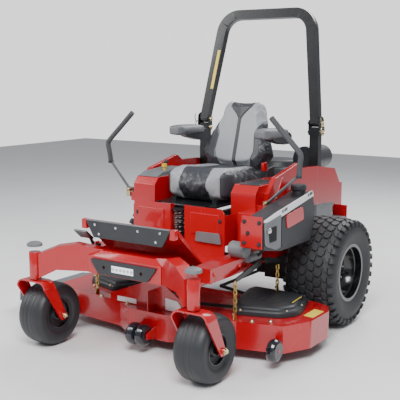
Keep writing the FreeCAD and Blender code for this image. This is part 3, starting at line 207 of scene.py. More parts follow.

# %% [markdown]
# ## The lamp's lens
# The work light is a row of bright reflectors behind clear moulding, so the lens is a clear plastic with a
# faint painted glow of its own, which stands in for the shine of the reflectors, rather than a mirror.

# %% The lens finish
lens = finish("lens", (0.92, 0.95, 1.0), 0.10, grain=260, bump=0.30, mottle=0.02, coat=1.0)
lens_shader = lens.node_tree.nodes["Principled BSDF"]
# Painted glow: the lens emits a faint light of its own in place of the shine of the reflectors behind it.
lens_shader.inputs["Emission Color"].default_value = (0.95, 0.97, 1.0, 1)
lens_shader.inputs["Emission Strength"].default_value = 0.55
print("lens")

# %% [markdown]
# ## Paint the frame's own parts
# Most of the frame's nodes already have the right shape. Each takes the finish of its material slot, and
# plates and castings get a small rounded edge, because a real folded or moulded edge catches a thin line of
# light.

# %% Coat and soften the nodes
SOFT_EDGES = {
    "front_frame": 4, "main_frame": 3, "light_bar": 2.5, "rops_posts": 3, "rear_guard": 1.5, "fuel_tank": 6,
    "console_left": 3, "console_right": 3, "control_panel": 4, "floor_pan": 1.5, "footplate": 2.5,
    "front_pod": 1.5, "deck_shell": 2, "fork_left": 2, "fork_right": 2, "discharge_deflector": 2,
    "engine_shroud": 6, "air_cleaner": 3, "rops_hoop": 5, "transaxles": 6, "seat_plate": 1.5,
    "lever_base_left": 1.5, "lever_base_right": 1.5, "lift_pedal": 2, "engine_block": 4, "seat_frame": 2,
}


def soften(part, width):
    """Welds a node's facets, then rounds its sharp edges."""
    weld = part.modifiers.new("weld", "WELD")
    weld.merge_threshold = 0.00005
    bevel = part.modifiers.new("edge", "BEVEL")
    bevel.width = width * MM
    bevel.segments = 2
    bevel.limit_method = "ANGLE"
    bevel.angle_limit = math.radians(40)
    bevel.harden_normals = True
    bevel.use_clamp_overlap = True


for sub_part in frame["record"]["subparts"]:
    node = NODES[sub_part["node"]]
    coating = FINISHES.get(sub_part["material_slot"])
    if coating:
        node.data.materials.clear()
        node.data.materials.append(coating)
    if sub_part["node"] in SOFT_EDGES:
        soften(node, SOFT_EDGES[sub_part["node"]])

# %% [markdown]
# ## The studio floor
# The floor is a large pale sheet that only catches the shadow.

# %% Floor
floor_mesh = bpy.data.meshes.new("floor")
HALF_FLOOR = 9
corners = [(x * HALF_FLOOR, y * HALF_FLOOR, -0.0005) for x, y in ((-1, -1), (1, -1), (1, 1), (-1, 1))]
floor_mesh.from_pydata(corners, [], [(0, 1, 2, 3)])
floor = bpy.data.objects.new("studio_floor", floor_mesh)
floor_mesh.materials.append(finish("floor", (0.86, 0.86, 0.87), 0.55, grain=60, bump=0.02, mottle=0.01,
                                   patch=2))
bpy.context.scene.collection.objects.link(floor)
print("floor")

# %% [markdown]
# ## Making a mesh piece
# Every new piece starts as a list of points and faces. This helper turns them into an object with its finish,
# shades it smooth apart from its sharp edges, and hands it to the body that carries it.

# %% Mesh helper
def piece(name, points, faces, coating, body, sharp=35, bevel=0.0, segments=2):
    """A mesh object that rides on a body. bevel, in millimetres, rounds its edges."""
    mesh = bpy.data.meshes.new(name)
    mesh.from_pydata([tuple(p) for p in points], [], faces)
    mesh.validate()
    mesh.update()
    made = bpy.data.objects.new(name, mesh)
    bpy.context.scene.collection.objects.link(made)
    mesh.materials.append(FINISHES[coating])
    repair = bmesh.new()
    repair.from_mesh(mesh)
    bmesh.ops.recalc_face_normals(repair, faces=repair.faces)
    repair.to_mesh(mesh)
    repair.free()
    mesh.shade_smooth()
    mesh.set_sharp_from_angle(angle=math.radians(sharp))
    if bevel:
        edge = made.modifiers.new("edge", "BEVEL")
        edge.width = bevel * MM
        edge.segments = segments
        edge.limit_method = "ANGLE"
        edge.angle_limit = math.radians(30)
        edge.harden_normals = True
    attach(made, body)
    return made


def prism_faces(n):
    """Faces of a prism whose points are one outline of n points, then the same outline further on."""
    return [tuple(range(n)), tuple(range(2 * n - 1, n - 1, -1))] + [(i, (i + 1) % n, n + (i + 1) % n, n + i)
                                                                   for i in range(n)]


# %% [markdown]
# ## Turning on a lathe
# Tyres, caps and rollers are all one outline spun round an axle. The outline is written as a few points,
# and a smooth curve through them gives enough rings to look round.

# %% Lathe helper
def flowing(points, steps=5):
    """A smooth curve through the points, which it passes through."""
    out = []
    for i in range(len(points) - 1):
        before = points[max(i - 1, 0)]
        after = points[min(i + 2, len(points) - 1)]
        here, there = points[i], points[i + 1]
        for k in range(steps):
            t = k / steps
            out.append(tuple(0.5 * (2 * b + (c - a) * t + (2 * a - 5 * b + 4 * c - e) * t * t
                                    + (3 * b - a - 3 * c + e) * t ** 3)
                             for a, b, c, e in zip(before, here, there, after)))
    return out + [points[-1]]


def ring_points(outline, centre, axis, turns):
    """Points of an outline of (radius, along) turned about an axis through centre, in millimetres."""
    points = []
    for k in range(turns):
        angle = math.tau * k / turns
        a, b = math.cos(angle), math.sin(angle)
        for radius, along in outline:
            if axis == "X":
                offset = (along, radius * a, radius * b)
            elif axis == "Y":
                offset = (radius * a, along, radius * b)
            else:
                offset = (radius * a, radius * b, along)
            points.append(centre + Vector(offset) * MM)
    return points


def lathe(name, outline, centre, axis, coating, body, turns=96, closed=True, sharp=35):
    """Spins the outline. A closed outline joins its last point to its first."""
    rows = len(outline)
    points = ring_points(outline, centre, axis, turns)
    faces = []
    last = rows if closed else rows - 1
    for k in range(turns):
        for i in range(last):
            j = (i + 1) % rows
            n = (k + 1) % turns
            faces.append((k * rows + i, k * rows + j, n * rows + j, n * rows + i))
    return piece(name, points, faces, coating, body, sharp=sharp)


# %% [markdown]
# ## The drive tyres
# A turf tyre is a wide, low carcass with a field of interlocking blocks. The carcass is turned on the lathe
# a few millimetres below the tyre's full size, and the blocks stand up from it to that size, in six rows
# that are staggered round the wheel. The outer rows carry on over the shoulder, which gives the tyre its
# toothed edge.

# %% Drive tyre carcass and tread
tyre_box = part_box("drive_tyre_left")
DRIVE_RADIUS = (tyre_box[1][2] - tyre_box[0][2]) / 2 / MM
DRIVE_HALF = (tyre_box[1][0] - tyre_box[0][0]) / 2 / MM
DRIVE_X = ((tyre_box[1][0] + tyre_box[0][0]) / 2 - MIDDLE) / MM
TREAD_DEPTH = 11
BEAD = 152


def carcass(half, radius, bead):
    """Half of the tyre's section from the bead to the middle of its tread, without the blocks."""
    rise = radius - bead
    return [(bead, -half * 0.80), (bead + 5, -half * 0.855), (bead + 13, -half * 0.87),
            (bead + 18, -half * 0.895), (bead + rise * 0.34, -half * 0.955),
            (bead + rise * 0.52, -half * 0.985),
            (bead + rise * 0.68, -half * 0.965), (bead + rise * 0.82, -half * 0.90),
            (radius - 9, -half * 0.77), (radius - 1, -half * 0.52), (radius, -half * 0.2), (radius, 0)]


def crown(across):
    """Height of the blocks' tops over the tyre's middle plane, by how far across the tread they are."""
    share = min(abs(across) / DRIVE_HALF, 1)
    return DRIVE_RADIUS - max(0, share - 0.42) ** 2 * 125


BLOCK = [(-0.44, -0.46), (0.06, -0.46), (0.44, -0.16), (0.44, 0.30), (0.20, 0.46), (-0.20, 0.46),
         (-0.44, 0.10)]


def tread(turn_count=34, rows=6, width=272):
    """Points and faces of the blocks, about the wheel's own centre."""
    points, faces = [], []
    row_width, pitch = width / rows, math.tau / turn_count
    for row in range(rows):
        middle = (row + 0.5) * row_width - width / 2
        lean = 1 if row % 2 else -1
        for k in range(turn_count):
            base = len(points)
            for lift, grow in ((-TREAD_DEPTH - 3, 1.10), (0, 0.94)):
                for along, over in BLOCK:
                    across = middle + over * row_width * grow * (1 if lean > 0 else -1)
                    angle = (k + 0.5 * (row % 2) + along * grow * 0.98 + over * 0.22 * lean) * pitch
                    radius = crown(across) + lift
                    points.append((across, radius * math.cos(angle), radius * math.sin(angle)))
            count = len(BLOCK)
            faces.append(tuple(base + count + i for i in range(count)))
            faces += [(base + i, base + (i + 1) % count, base + count + (i + 1) % count, base + count + i)
                      for i in range(count)]
    return points, faces


def shoulder(turn_count=34):
    """Lugs that run from the outer rows down the top of each sidewall."""
    points, faces = [], []
    rise = DRIVE_RADIUS - BEAD
    run = [(DRIVE_RADIUS - 6, 0.84), (DRIVE_RADIUS - 16, 0.945), (BEAD + rise * 0.76, 0.985)]
    for end in (-1, 1):
        for k in range(turn_count):
            base = len(points)
            for step, (radius, share) in enumerate(run):
                reach = (0.30, 0.26, 0.16)[step]
                for sink in (0, 9):
                    for edge in (-reach, reach):
                        angle = (k + 0.25 + edge + (0.5 if end > 0 else 0)) * math.tau / turn_count
                        points.append(((DRIVE_HALF * share - sink) * end,
                                       (radius - sink * 0.7) * math.cos(angle),
                                       (radius - sink * 0.7) * math.sin(angle)))
            for step in (0, 4):
                b = base + step
                faces += [(b, b + 1, b + 5, b + 4), (b, b + 4, b + 6, b + 2), (b + 1, b + 3, b + 7, b + 5)]
            faces += [(base, base + 2, base + 3, base + 1), (base + 8, base + 9, base + 11, base + 10)]
    return points, faces


for name, side in SIDES.items():
    centre = spot(DRIVE_X * side, 0, DRIVE_RADIUS)
    half_section = carcass(DRIVE_HALF, DRIVE_RADIUS - TREAD_DEPTH, BEAD)
    section = flowing(half_section, 3)
    section += [(r, -a) for r, a in section[-2::-1]]
    body = "drive_wheel_" + name
    carcass_piece = lathe("drive_tyre_carcass_" + name, section, centre, "X", "tyre", body, turns=128)
    for label, (points, faces) in (("tread", tread()), ("shoulder", shoulder())):
        placed = [centre + Vector(p) * MM for p in points]
        blocks = piece("drive_tyre_%s_%s" % (label, name), placed, faces, "tyre", body, sharp=25, bevel=1.2,
                       segments=1)
    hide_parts("drive_tyre_" + name)
print("drive tyres", round(DRIVE_RADIUS), "mm in radius")

# %% [markdown]
# ## The caster tyres
# Casters only roll and swivel, so their tyres are smooth apart from a few shallow ribs round the tread. A
# fine moulding line near the rim breaks up the plain sidewall.

# %% Caster tyres
caster_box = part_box("caster_tyre_left")
CASTER_RADIUS = (caster_box[1][2] - caster_box[0][2]) / 2 / MM
CASTER_HALF = (caster_box[1][0] - caster_box[0][0]) / 2 / MM


def caster_section(half, radius, bead):
    rise = radius - bead
    curve = flowing([(bead, -half * 0.80), (bead + 4, -half * 0.84), (bead + rise * 0.16, -half * 0.86),
                     (bead + rise * 0.34, -half * 0.97), (bead + rise * 0.62, -half),
                     (bead + rise * 0.80, -half * 0.95), (radius - rise * 0.05, -half * 0.72),
                     (radius, -half * 0.42)], 4)
    for rib in (0.34, 0.06):
        curve += [(radius, -half * (rib + 0.02)), (radius - 1, -half * rib), (radius, -half * (rib - 0.02))]
    curve = [c for c in curve if c[1] <= 0]
    return curve + [(r, -a) for r, a in reversed(curve)]


for name in SIDES:
    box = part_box("caster_tyre_" + name)
    centre = (Vector(box[0]) + Vector(box[1])) / 2
    tyre = lathe("caster_tyre_smooth_" + name, caster_section(CASTER_HALF, CASTER_RADIUS, 76), centre, "X",
                 "caster_rubber", "caster_wheel_" + name, turns=112)
    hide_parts("caster_tyre_" + name)
print("caster tyres", round(CASTER_RADIUS), "mm in radius")

# %% [markdown]
# ## Two colours of vinyl
# The seat's cover is sewn from a light and a dark vinyl. The border between them is written as a curve: how
# far from the middle the light cloth reaches at each height. The finish reads the piece's own coordinates, so
# the border stays put when the seat tilts, and a thin dark line along it is the seam.

# %% Vinyl finish
LIGHT, DARK = (0.30, 0.315, 0.335), (0.042, 0.044, 0.052)


def curve_of(nodes, points, span):
    """A node that turns height, as a share of span, into a half width in metres."""
    node = nodes.new("ShaderNodeFloatCurve")
    curve = node.mapping.curves[0]
    node.mapping.use_clip = False
    low, high = span
    for index, (height, reach) in enumerate(points):
        place = ((height - low) / (high - low), reach)
        if index < 2:
            curve.points[index].location = place
        else:
            curve.points.new(*place)
    for point in curve.points:
        point.handle_type = "VECTOR"
    node.mapping.update()
    return node


def calculate(material, operation, first, second=0.0):
    """A maths node; each input is a number or another node's output."""
    node = material.node_tree.nodes.new("ShaderNodeMath")
    node.operation = operation
    for socket, value in zip(node.inputs, (first, second)):
        if isinstance(value, (int, float)):
            socket.default_value = value
        else:
            material.node_tree.links.new(value, socket)
    return node.outputs[0]


def vinyl(name, bands, axis, span):
    """Dark vinyl with light cloth between pairs of borders, which follow the coordinate axis."""
    material = finish(name, DARK, 0.40, grain=520, bump=0.14, mottle=0.03, patch=4)
    nodes, links = material.node_tree.nodes, material.node_tree.links
    shader = nodes["Principled BSDF"]
    place = nodes.new("ShaderNodeTexCoord")
    apart = nodes.new("ShaderNodeSeparateXYZ")
    links.new(place.outputs["Object"], apart.inputs["Vector"])
    across = calculate(material, "ABSOLUTE", apart.outputs["X"])
    height = calculate(material, "DIVIDE", calculate(material, "SUBTRACT", apart.outputs[axis], span[0]),
                       span[1] - span[0])
    light, seam = 0.0, 0.0
    for inner, outer in bands:
        edges = []
        for points in (inner, outer):
            edge = curve_of(nodes, points, span)
            links.new(height, edge.inputs["Value"])
            edges.append(edge.outputs["Value"])
            gap = calculate(material, "ABSOLUTE",
                            calculate(material, "SUBTRACT", across, edge.outputs["Value"]))
            line = calculate(material, "LESS_THAN", gap, 0.0016)
            seam = calculate(material, "MAXIMUM", line, seam)
        inside = calculate(material, "MULTIPLY", calculate(material, "GREATER_THAN", across, edges[0]),
                           calculate(material, "LESS_THAN", across, edges[1]))
        light = calculate(material, "MAXIMUM", inside, light)
    old = shader.inputs["Base Color"].links[0].from_socket
    mixed = nodes.new("ShaderNodeMix")
    mixed.data_type = "RGBA"
    mixed.inputs["B"].default_value = (*LIGHT, 1)
    links.new(light, mixed.inputs["Factor"])
    links.new(old, mixed.inputs["A"])
    sewn = nodes.new("ShaderNodeMix")
    sewn.data_type = "RGBA"
    sewn.inputs["B"].default_value = (0.012, 0.012, 0.014, 1)
    links.new(seam, sewn.inputs["Factor"])
    links.new(mixed.outputs["Result"], sewn.inputs["A"])
    links.new(sewn.outputs["Result"], shader.inputs["Base Color"])
    return material


print("vinyl recipe")

# %% [markdown]
# ## A pad that is blown up like a real one
# A pad begins as a rounded block. It is remeshed into even small squares, and Blender's cloth, with air
# pressure inside and no gravity, swells it as foam pushes out its cover. No point may move more than a set
# distance, so the pad keeps its place, and one subdivision smooths what is left.

# %% Pad helpers
def rounded_block(size, square=0.42, rows=28, turns=56):
    """Points and faces of a closed, soft-cornered block of the given half sizes about its own middle."""
    def soft(value):
        return math.copysign(abs(value) ** square, value)
    points = [Vector((0, 0, -size[2]))]
    for i in range(1, rows):
        rise = math.pi * (i / rows - 0.5)
        ring, level = soft(math.cos(rise)), soft(math.sin(rise))
        for k in range(turns):
            angle = math.tau * k / turns
            points.append(Vector((size[0] * ring * soft(math.cos(angle)),
                                  size[1] * ring * soft(math.sin(angle)),
                                  size[2] * level)))
    points.append(Vector((0, 0, size[2])))
    last = len(points) - 1
    faces = [(0, 1 + (k + 1) % turns, 1 + k) for k in range(turns)]
    for i in range(rows - 2):
        a = 1 + i * turns
        faces += [(a + k, a + (k + 1) % turns, a + turns + (k + 1) % turns,
                   a + turns + k) for k in range(turns)]
    a = 1 + (rows - 2) * turns
    faces += [(a + k, a + (k + 1) % turns, last) for k in range(turns)]
    return points, faces


def settle(pad):
    """Replaces a pad's mesh with what its modifiers make of it."""
    graph = bpy.context.evaluated_depsgraph_get()
    made = bpy.data.meshes.new_from_object(pad.evaluated_get(graph))
    pad.modifiers.clear()
    pad.data = made
    return made


def refine(pad):
    """Subdivides the pad once and returns its mesh."""
    finer = pad.modifiers.new("finer", "SUBSURF")
    finer.levels = 1
    finer.render_levels = 1
    return settle(pad)


def plump(pad, voxel, cap):
    """Remeshes the pad, blows it up with cloth pressure, and keeps every point within cap millimetres."""
    even = pad.modifiers.new("even", "REMESH")
    even.mode = "VOXEL"
    even.voxel_size = voxel * MM
    settle(pad)
    before = [v.co.copy() for v in pad.data.vertices]
    cloth = pad.modifiers.new("cloth", "CLOTH")
    cloth.settings.quality = 4
    cloth.settings.use_pressure = True
    cloth.settings.uniform_pressure_force = 4
    cloth.settings.effector_weights.gravity = 0
    cloth.point_cache.frame_start = 1
    cloth.point_cache.frame_end = 20
    for frame_number in range(1, 21):
        bpy.context.scene.frame_set(frame_number)
    made = settle(pad)
    for vertex, start in zip(made.vertices, before):
        move = vertex.co - start
        if move.length > cap * MM:
            vertex.co = start + move.normalized() * cap * MM
    bpy.context.scene.frame_set(1)


def width_at(points, height):
    """The border's half width at a height, by straight lines between its points."""
    for (low, a), (high, b) in zip(points, points[1:]):
        if height <= high:
            return a + (b - a) * max(0, min(1, (height - low) / (high - low)))
    return points[-1][1]


def sew(pad, bands, axis, depth=0.0045, reach=0.007):
    """Subdivides the pad, then presses a groove into it along every border."""
    made = refine(pad)
    normals = [v.normal.copy() for v in made.vertices]
    for vertex, normal in zip(made.vertices, normals):
        near = min(abs(abs(vertex.co.x) - width_at(border,
                                                   vertex.co[axis])) for band in bands for border in band)
        if near < reach:
            vertex.co -= normal * depth * (1 - near / reach) ** 2
    made.update()
    made.shade_smooth()


print("pad helpers")

# %% [markdown]
# ## The seat cushion
# The cushion is thick and crowned at the front, dips where the operator sits, and rises in a bolster on each
# side. Light bands run back over it between the dark middle and the dark bolsters.

# %% Seat cushion
low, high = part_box("seat_cushion")
cushion_half = Vector(((high.x - low.x) / 2, (high.y - low.y) / 2, (high.z - low.z) / 2))
CUSHION_MIDDLE = (low + high) / 2
SHY = 0.007
points, faces = rounded_block((cushion_half.x - SHY, cushion_half.y - SHY, cushion_half.z - SHY), 0.24)
for p in points:
    back = (p.y + cushion_half.y) / (2 * cushion_half.y)
    side = abs(p.x) / cushion_half.x
    if p.z > 0:
        p.z -= cushion_half.z * 2 * (0.20 * min(1, max(0, back - 0.12) * 1.3) - 0.12 * side ** 3 * back)
        p.z -= 0.018 * (1 - side ** 2) * math.sin(math.pi * min(1, back * 1.1))
    p.y += 0.030 * side ** 4 * (1 - back)
    p.x *= 1 - 0.05 * back
CUSHION_SPAN = (-0.30, 0.30)
CUSHION_BANDS = [([(-0.30, 0.088), (-0.10, 0.088), (0.30, 0.070)],
                  [(-0.30, 0.166), (-0.10, 0.166), (0.30, 0.140)])]
vinyl("seat_vinyl", CUSHION_BANDS, "Y", CUSHION_SPAN)
cushion = piece("seat_cushion_pad", points, faces, "seat_vinyl", "seat")
plump(cushion, 6, 24)
sew(cushion, CUSHION_BANDS, 1)
cushion.location = CUSHION_MIDDLE
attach(cushion, "seat")
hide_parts("seat_cushion")
print("cushion", len(cushion.data.vertices), "points")

# %% [markdown]
# ## The seat back
# The back is a tall shell, wide at the ribs and narrow at the shoulders. Its light field carries a dark
# shield at the top that tapers into a strip down the middle, and dark bolsters hold the operator's sides.

# %% Seat back
low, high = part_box("seat_back")
LEAN = math.radians(16.4)
BACK_THICK, BACK_RISE = 0.105, (high.z - low.z) / math.cos(LEAN)
back_middle = Vector(((low.x + high.x) / 2, (low.y + high.y) / 2, (low.z + high.z) / 2))
OUTLINE = [(-0.20, 0.196), (-0.13, 0.232), (-0.07, 0.228), (0.02, 0.190), (0.16, 0.142), (0.20, 0.132)]
points, faces = rounded_block((1, BACK_THICK / 2 - 0.010, BACK_RISE / 2 - 0.004), 0.26, rows=36)
for p in points:
    p.z -= 0.026 * max(0, min(1, 0.5 - p.z / 0.3))
    wide = width_at(OUTLINE, p.z) - 0.006
    side = abs(p.x)
    p.x *= wide
    front = p.y < 0
    p.y -= 0.030 * side ** 3 * max(0, min(1, (0.10 - p.z) / 0.2)) if front else 0
    p.y += (0.012 if front else -0.004) * (1 - side ** 2)
BACK_SPAN = (-0.22, 0.22)
FIELD_EDGE = [(-0.22, 0.098), (-0.12, 0.132), (-0.02, 0.120), (0.06, 0.150), (0.11, 0.20), (0.22, 0.20)]
SHIELD = [(-0.22, 0.010), (0.075, 0.010), (0.10, 0.026), (0.145, 0.070), (0.22, 0.080)]
BACK_BANDS = [(SHIELD, FIELD_EDGE)]
vinyl("seat_back_vinyl", BACK_BANDS, "Z", BACK_SPAN)
seat_back = piece("seat_back_pad", points, faces, "seat_back_vinyl", "seat")
plump(seat_back, 6, 22)
sew(seat_back, BACK_BANDS, 2)
seat_back.matrix_world = Matrix.Translation(back_middle) @ Matrix.Rotation(-LEAN, 4, "X")
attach(seat_back, "seat")
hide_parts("seat_back")
print("back", len(seat_back.data.vertices), "points")

# %% [markdown]
# ## Armrests
# Each armrest is a soft pad on a black moulded beam that turns on a pin beside the seat back. The pad's
# nose is fuller than its tail.

# %% Armrests
finish("arm_vinyl", (0.15, 0.155, 0.17), 0.42, grain=520, bump=0.30, mottle=0.06)
for name, side in SIDES.items():
    low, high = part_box("armrest_" + name)
    pad_low = Vector((low.x if side < 0 else high.x - 0.092, low.y, high.z - 0.070))
    pad_high = Vector((low.x + 0.092 if side < 0 else high.x, high.y - 0.03, high.z - 0.004))
    middle, half = (pad_low + pad_high) / 2, (pad_high - pad_low) / 2
    points, faces = rounded_block((half.x - 0.007, half.y - 0.007, half.z - 0.004), 0.30, rows=20, turns=40)
    for p in points:
        back = (p.y + half.y) / (2 * half.y)
        p.z *= 1 - 0.22 * back
        p.x *= 1 - 0.10 * back
        p.z += 0.008 * (1 - back)
    pad = piece("armrest_pad_" + name, points, faces, "arm_vinyl", "armrest_" + name)
    plump(pad, 5, 9)
    refine(pad).shade_smooth()
    pad.location = middle
    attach(pad, "armrest_" + name)
    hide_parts("armrest_" + name)
    inner, outer = pad_low.x + 0.016, pad_high.x - 0.016
    y0, y1, z0 = low.y + 0.10, high.y, pad_low.z
    beam_yz = [(y0, z0 + 0.016), (y0 + 0.03, z0 - 0.004), (y1 - 0.09, z0 - 0.030), (y1 - 0.02, z0 - 0.030),
               (y1, z0 - 0.012), (y1, z0 + 0.022), (y1 - 0.03, z0 + 0.040)]
    points = [Vector((x, y, z)) for x in (inner, outer) for y, z in beam_yz]
    beam = piece("armrest_beam_" + name, points, prism_faces(len(beam_yz)), "black_plastic",
                 "armrest_" + name, bevel=5, segments=3)
print("armrests")

# %% [markdown]
# ## Small shapes that repeat
# Plates, nuts, round bars and rings turn up all over a machine, so each gets one helper. Plates are an
# outline pushed through a thickness, with their edges rounded by a bevel. Bars are curves with a round
# section.

# %% Plate, nut, bar and ring helpers
def plate(name, plane, outline, low, high, coating, body, bevel=1.5):
    """An outline in millimetres, in the plane YZ, XZ or XY, pushed from low to high along the other axis."""
    def at(a, b, c):
        return {"YZ": spot(c, a, b), "XZ": spot(a, c, b), "XY": spot(a, b, c)}[plane]
    points = [at(a, b, level) for level in (low, high) for a, b in outline]
    made = piece(name, points, prism_faces(len(outline)), coating, body, bevel=bevel)
    return made


def rounded(outline, radius, steps=5):
    """The outline with its corners rounded."""
    out = []
    for i, corner in enumerate(outline):
        here = Vector(corner)
        before, after = Vector(outline[i - 1]), Vector(outline[(i + 1) % len(outline)])
        start = here + (before - here).normalized() * min(radius, (before - here).length * 0.45)
        end = here + (after - here).normalized() * min(radius, (after - here).length * 0.45)
        for k in range(steps + 1):
            t = k / steps
            out.append(tuple(start * (1 - t) ** 2 + here * 2 * t * (1 - t) + end * t * t))
    return out


def nut(name, place, axis, radius, reach, coating, body):
    """A washer, a round nut and a domed stud, standing on place along +axis or -axis by the sign of reach."""
    sign = 1 if reach > 0 else -1
    outline = [(radius * 1.35, 0), (radius * 1.35, 2 * sign), (radius, 2 * sign), (radius, reach * 0.75),
               (radius * 0.84, reach), (radius * 0.55, reach), (radius * 0.50, reach * 1.35),
               (0.01, reach * 1.5)]
    return lathe(name, [(0.01, 0)] + outline, place, axis, coating, body, turns=24, closed=False, sharp=30)


def bar(name, points, radius, coating, body):
    """A round bar through the points, as a curve."""
    data = bpy.data.curves.new(name, "CURVE")
    data.dimensions = "3D"
    data.bevel_depth = radius * MM
    data.bevel_resolution = 6
    data.use_fill_caps = True
    line = data.splines.new("NURBS")
    line.points.add(len(points) - 1)
    for point, place in zip(line.points, points):
        point.co = (*place, 1)
    line.order_u = 3
    line.use_endpoint_u = True
    line.resolution_u = 10
    data.materials.append(FINISHES[coating])
    made = bpy.data.objects.new(name, data)
    bpy.context.scene.collection.objects.link(made)
    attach(made, body)
    return made


def loop_points(path, radius, sides=8):
    """Points and faces of a round wire swept round a closed path of places."""
    points, faces, count = [], [], len(path)
    for i, place in enumerate(path):
        ahead = path[(i + 1) % count] - path[i - 1]
        ahead.normalize()
        up = Vector((0, 0, 1)) if abs(ahead.z) < 0.9 else Vector((1, 0, 0))
        one = ahead.cross(up).normalized()
        two = ahead.cross(one)
        for k in range(sides):
            a = math.tau * k / sides
            points.append(place + (one * math.cos(a) + two * math.sin(a)) * radius * MM)
    for i in range(count):
        j = (i + 1) % count
        faces += [(i * sides + k, i * sides + (k + 1) % sides, j * sides + (k + 1) % sides, j * sides + k)
                  for k in range(sides)]
    return points, faces


print("helpers for plates, nuts, bars and rings")

# %% [markdown]
# ## Foam grips
# The two drive levers are bare steel below and carry a long foam grip above, which follows the bend of the
# lever. The foam is a fat curve over the steel one, closed with a flat end.

# %% Lever grips
for name, side in SIDES.items():
    path = [spot(side * 622, -500, 900), spot(side * 627, -504, 960), spot(side * 637, -509, 1005),
            spot(side * 622, -508, 1028), spot(side * 540, -503, 1106), spot(side * 456, -498, 1190)]
    bar("lever_grip_" + name, path, 14.5, "foam", "drive_lever_" + name)
    collar = lathe("lever_collar_" + name, [(9, 888), (17, 890), (17, 902), (9, 904)],
                   spot(side * 621, -500, 0), "Z", "black_plastic", "drive_lever_" + name, turns=40)
    nut("lever_nut_front_" + name, spot(side * 455, -552, 750), "Y", 9, -9, "plated_steel",
        "lever_base_" + name)
    nut("lever_nut_side_" + name, spot(side * 470, -530, 722), "X", 10, 9 * side, "plated_steel",
        "lever_base_" + name)
print("grips")

# %% [markdown]
# ## Dressing the fuel tank
# The tank's side has a framed recess, a pale strip along its sloping shoulder and a plain red shield. They
# are separate thin plates laid on the moulding, with rounded corners.

# %% Tank panel, strip and shield
TANK_SIDE = 600
plate("tank_recess", "YZ", rounded([(-640, 556), (-640, 690), (-612, 712), (-318, 766), (-284, 690),
                                    (-322, 556)], 22),
      TANK_SIDE, TANK_SIDE + 4, "black_plastic", "chassis", 2)
plate("tank_front_moulding", "YZ", rounded([(-806, 588), (-817, 700), (-650, 726), (-650, 556),
                                            (-700, 552)], 14),
      TANK_SIDE, TANK_SIDE + 7, "grey_plastic", "chassis", 3)
# The notch is a near-black plate on the moulding: painted shade in place of a recess.
plate("tank_front_notch", "YZ", rounded([(-770, 600), (-778, 672), (-700, 676), (-700, 600)], 10),
      TANK_SIDE + 6, TANK_SIDE + 9, "painted_hole_shade", "chassis", 1)
lathe("tank_knob", [(0.01, 0), (15, 0), (15, 10), (11, 15), (0.01, 16)], spot(TANK_SIDE + 7, -786, 664), "X",
      "silver_plate", "chassis", turns=40, closed=False)
plate("tank_strip", "YZ", rounded([(-816, 704), (-816, 716), (-690, 742), (-306, 803), (-290, 772),
                                   (-640, 712)], 6),
      TANK_SIDE, TANK_SIDE + 5, "sticker_white", "chassis", 1)
for index, along in enumerate((-640, -618, -600, -360, -338, -322)):
    lift = 722 + (along + 640) * 0.168
    plate("tank_strip_mark_%d" % index, "YZ", rounded([(along, lift + 6), (along + 13, lift + 8),
          (along + 11, lift + 26), (along - 1, lift + 22)], 3), TANK_SIDE + 4, TANK_SIDE + 6, "black_panel",
          "chassis", 0.4)
shield = rounded([(-590, 640), (-602, 712), (-420, 735), (-405, 662)], 18)
plate("tank_shield", "YZ", shield, TANK_SIDE + 3, TANK_SIDE + 9, "red_paint", "chassis", 2)
print("tank dressed")

# %% [markdown]
# ## Wheel centres
# A drive wheel's disc is bolted to its hub with five nuts round a domed cap. A caster's axle carries a nut on
# each end.

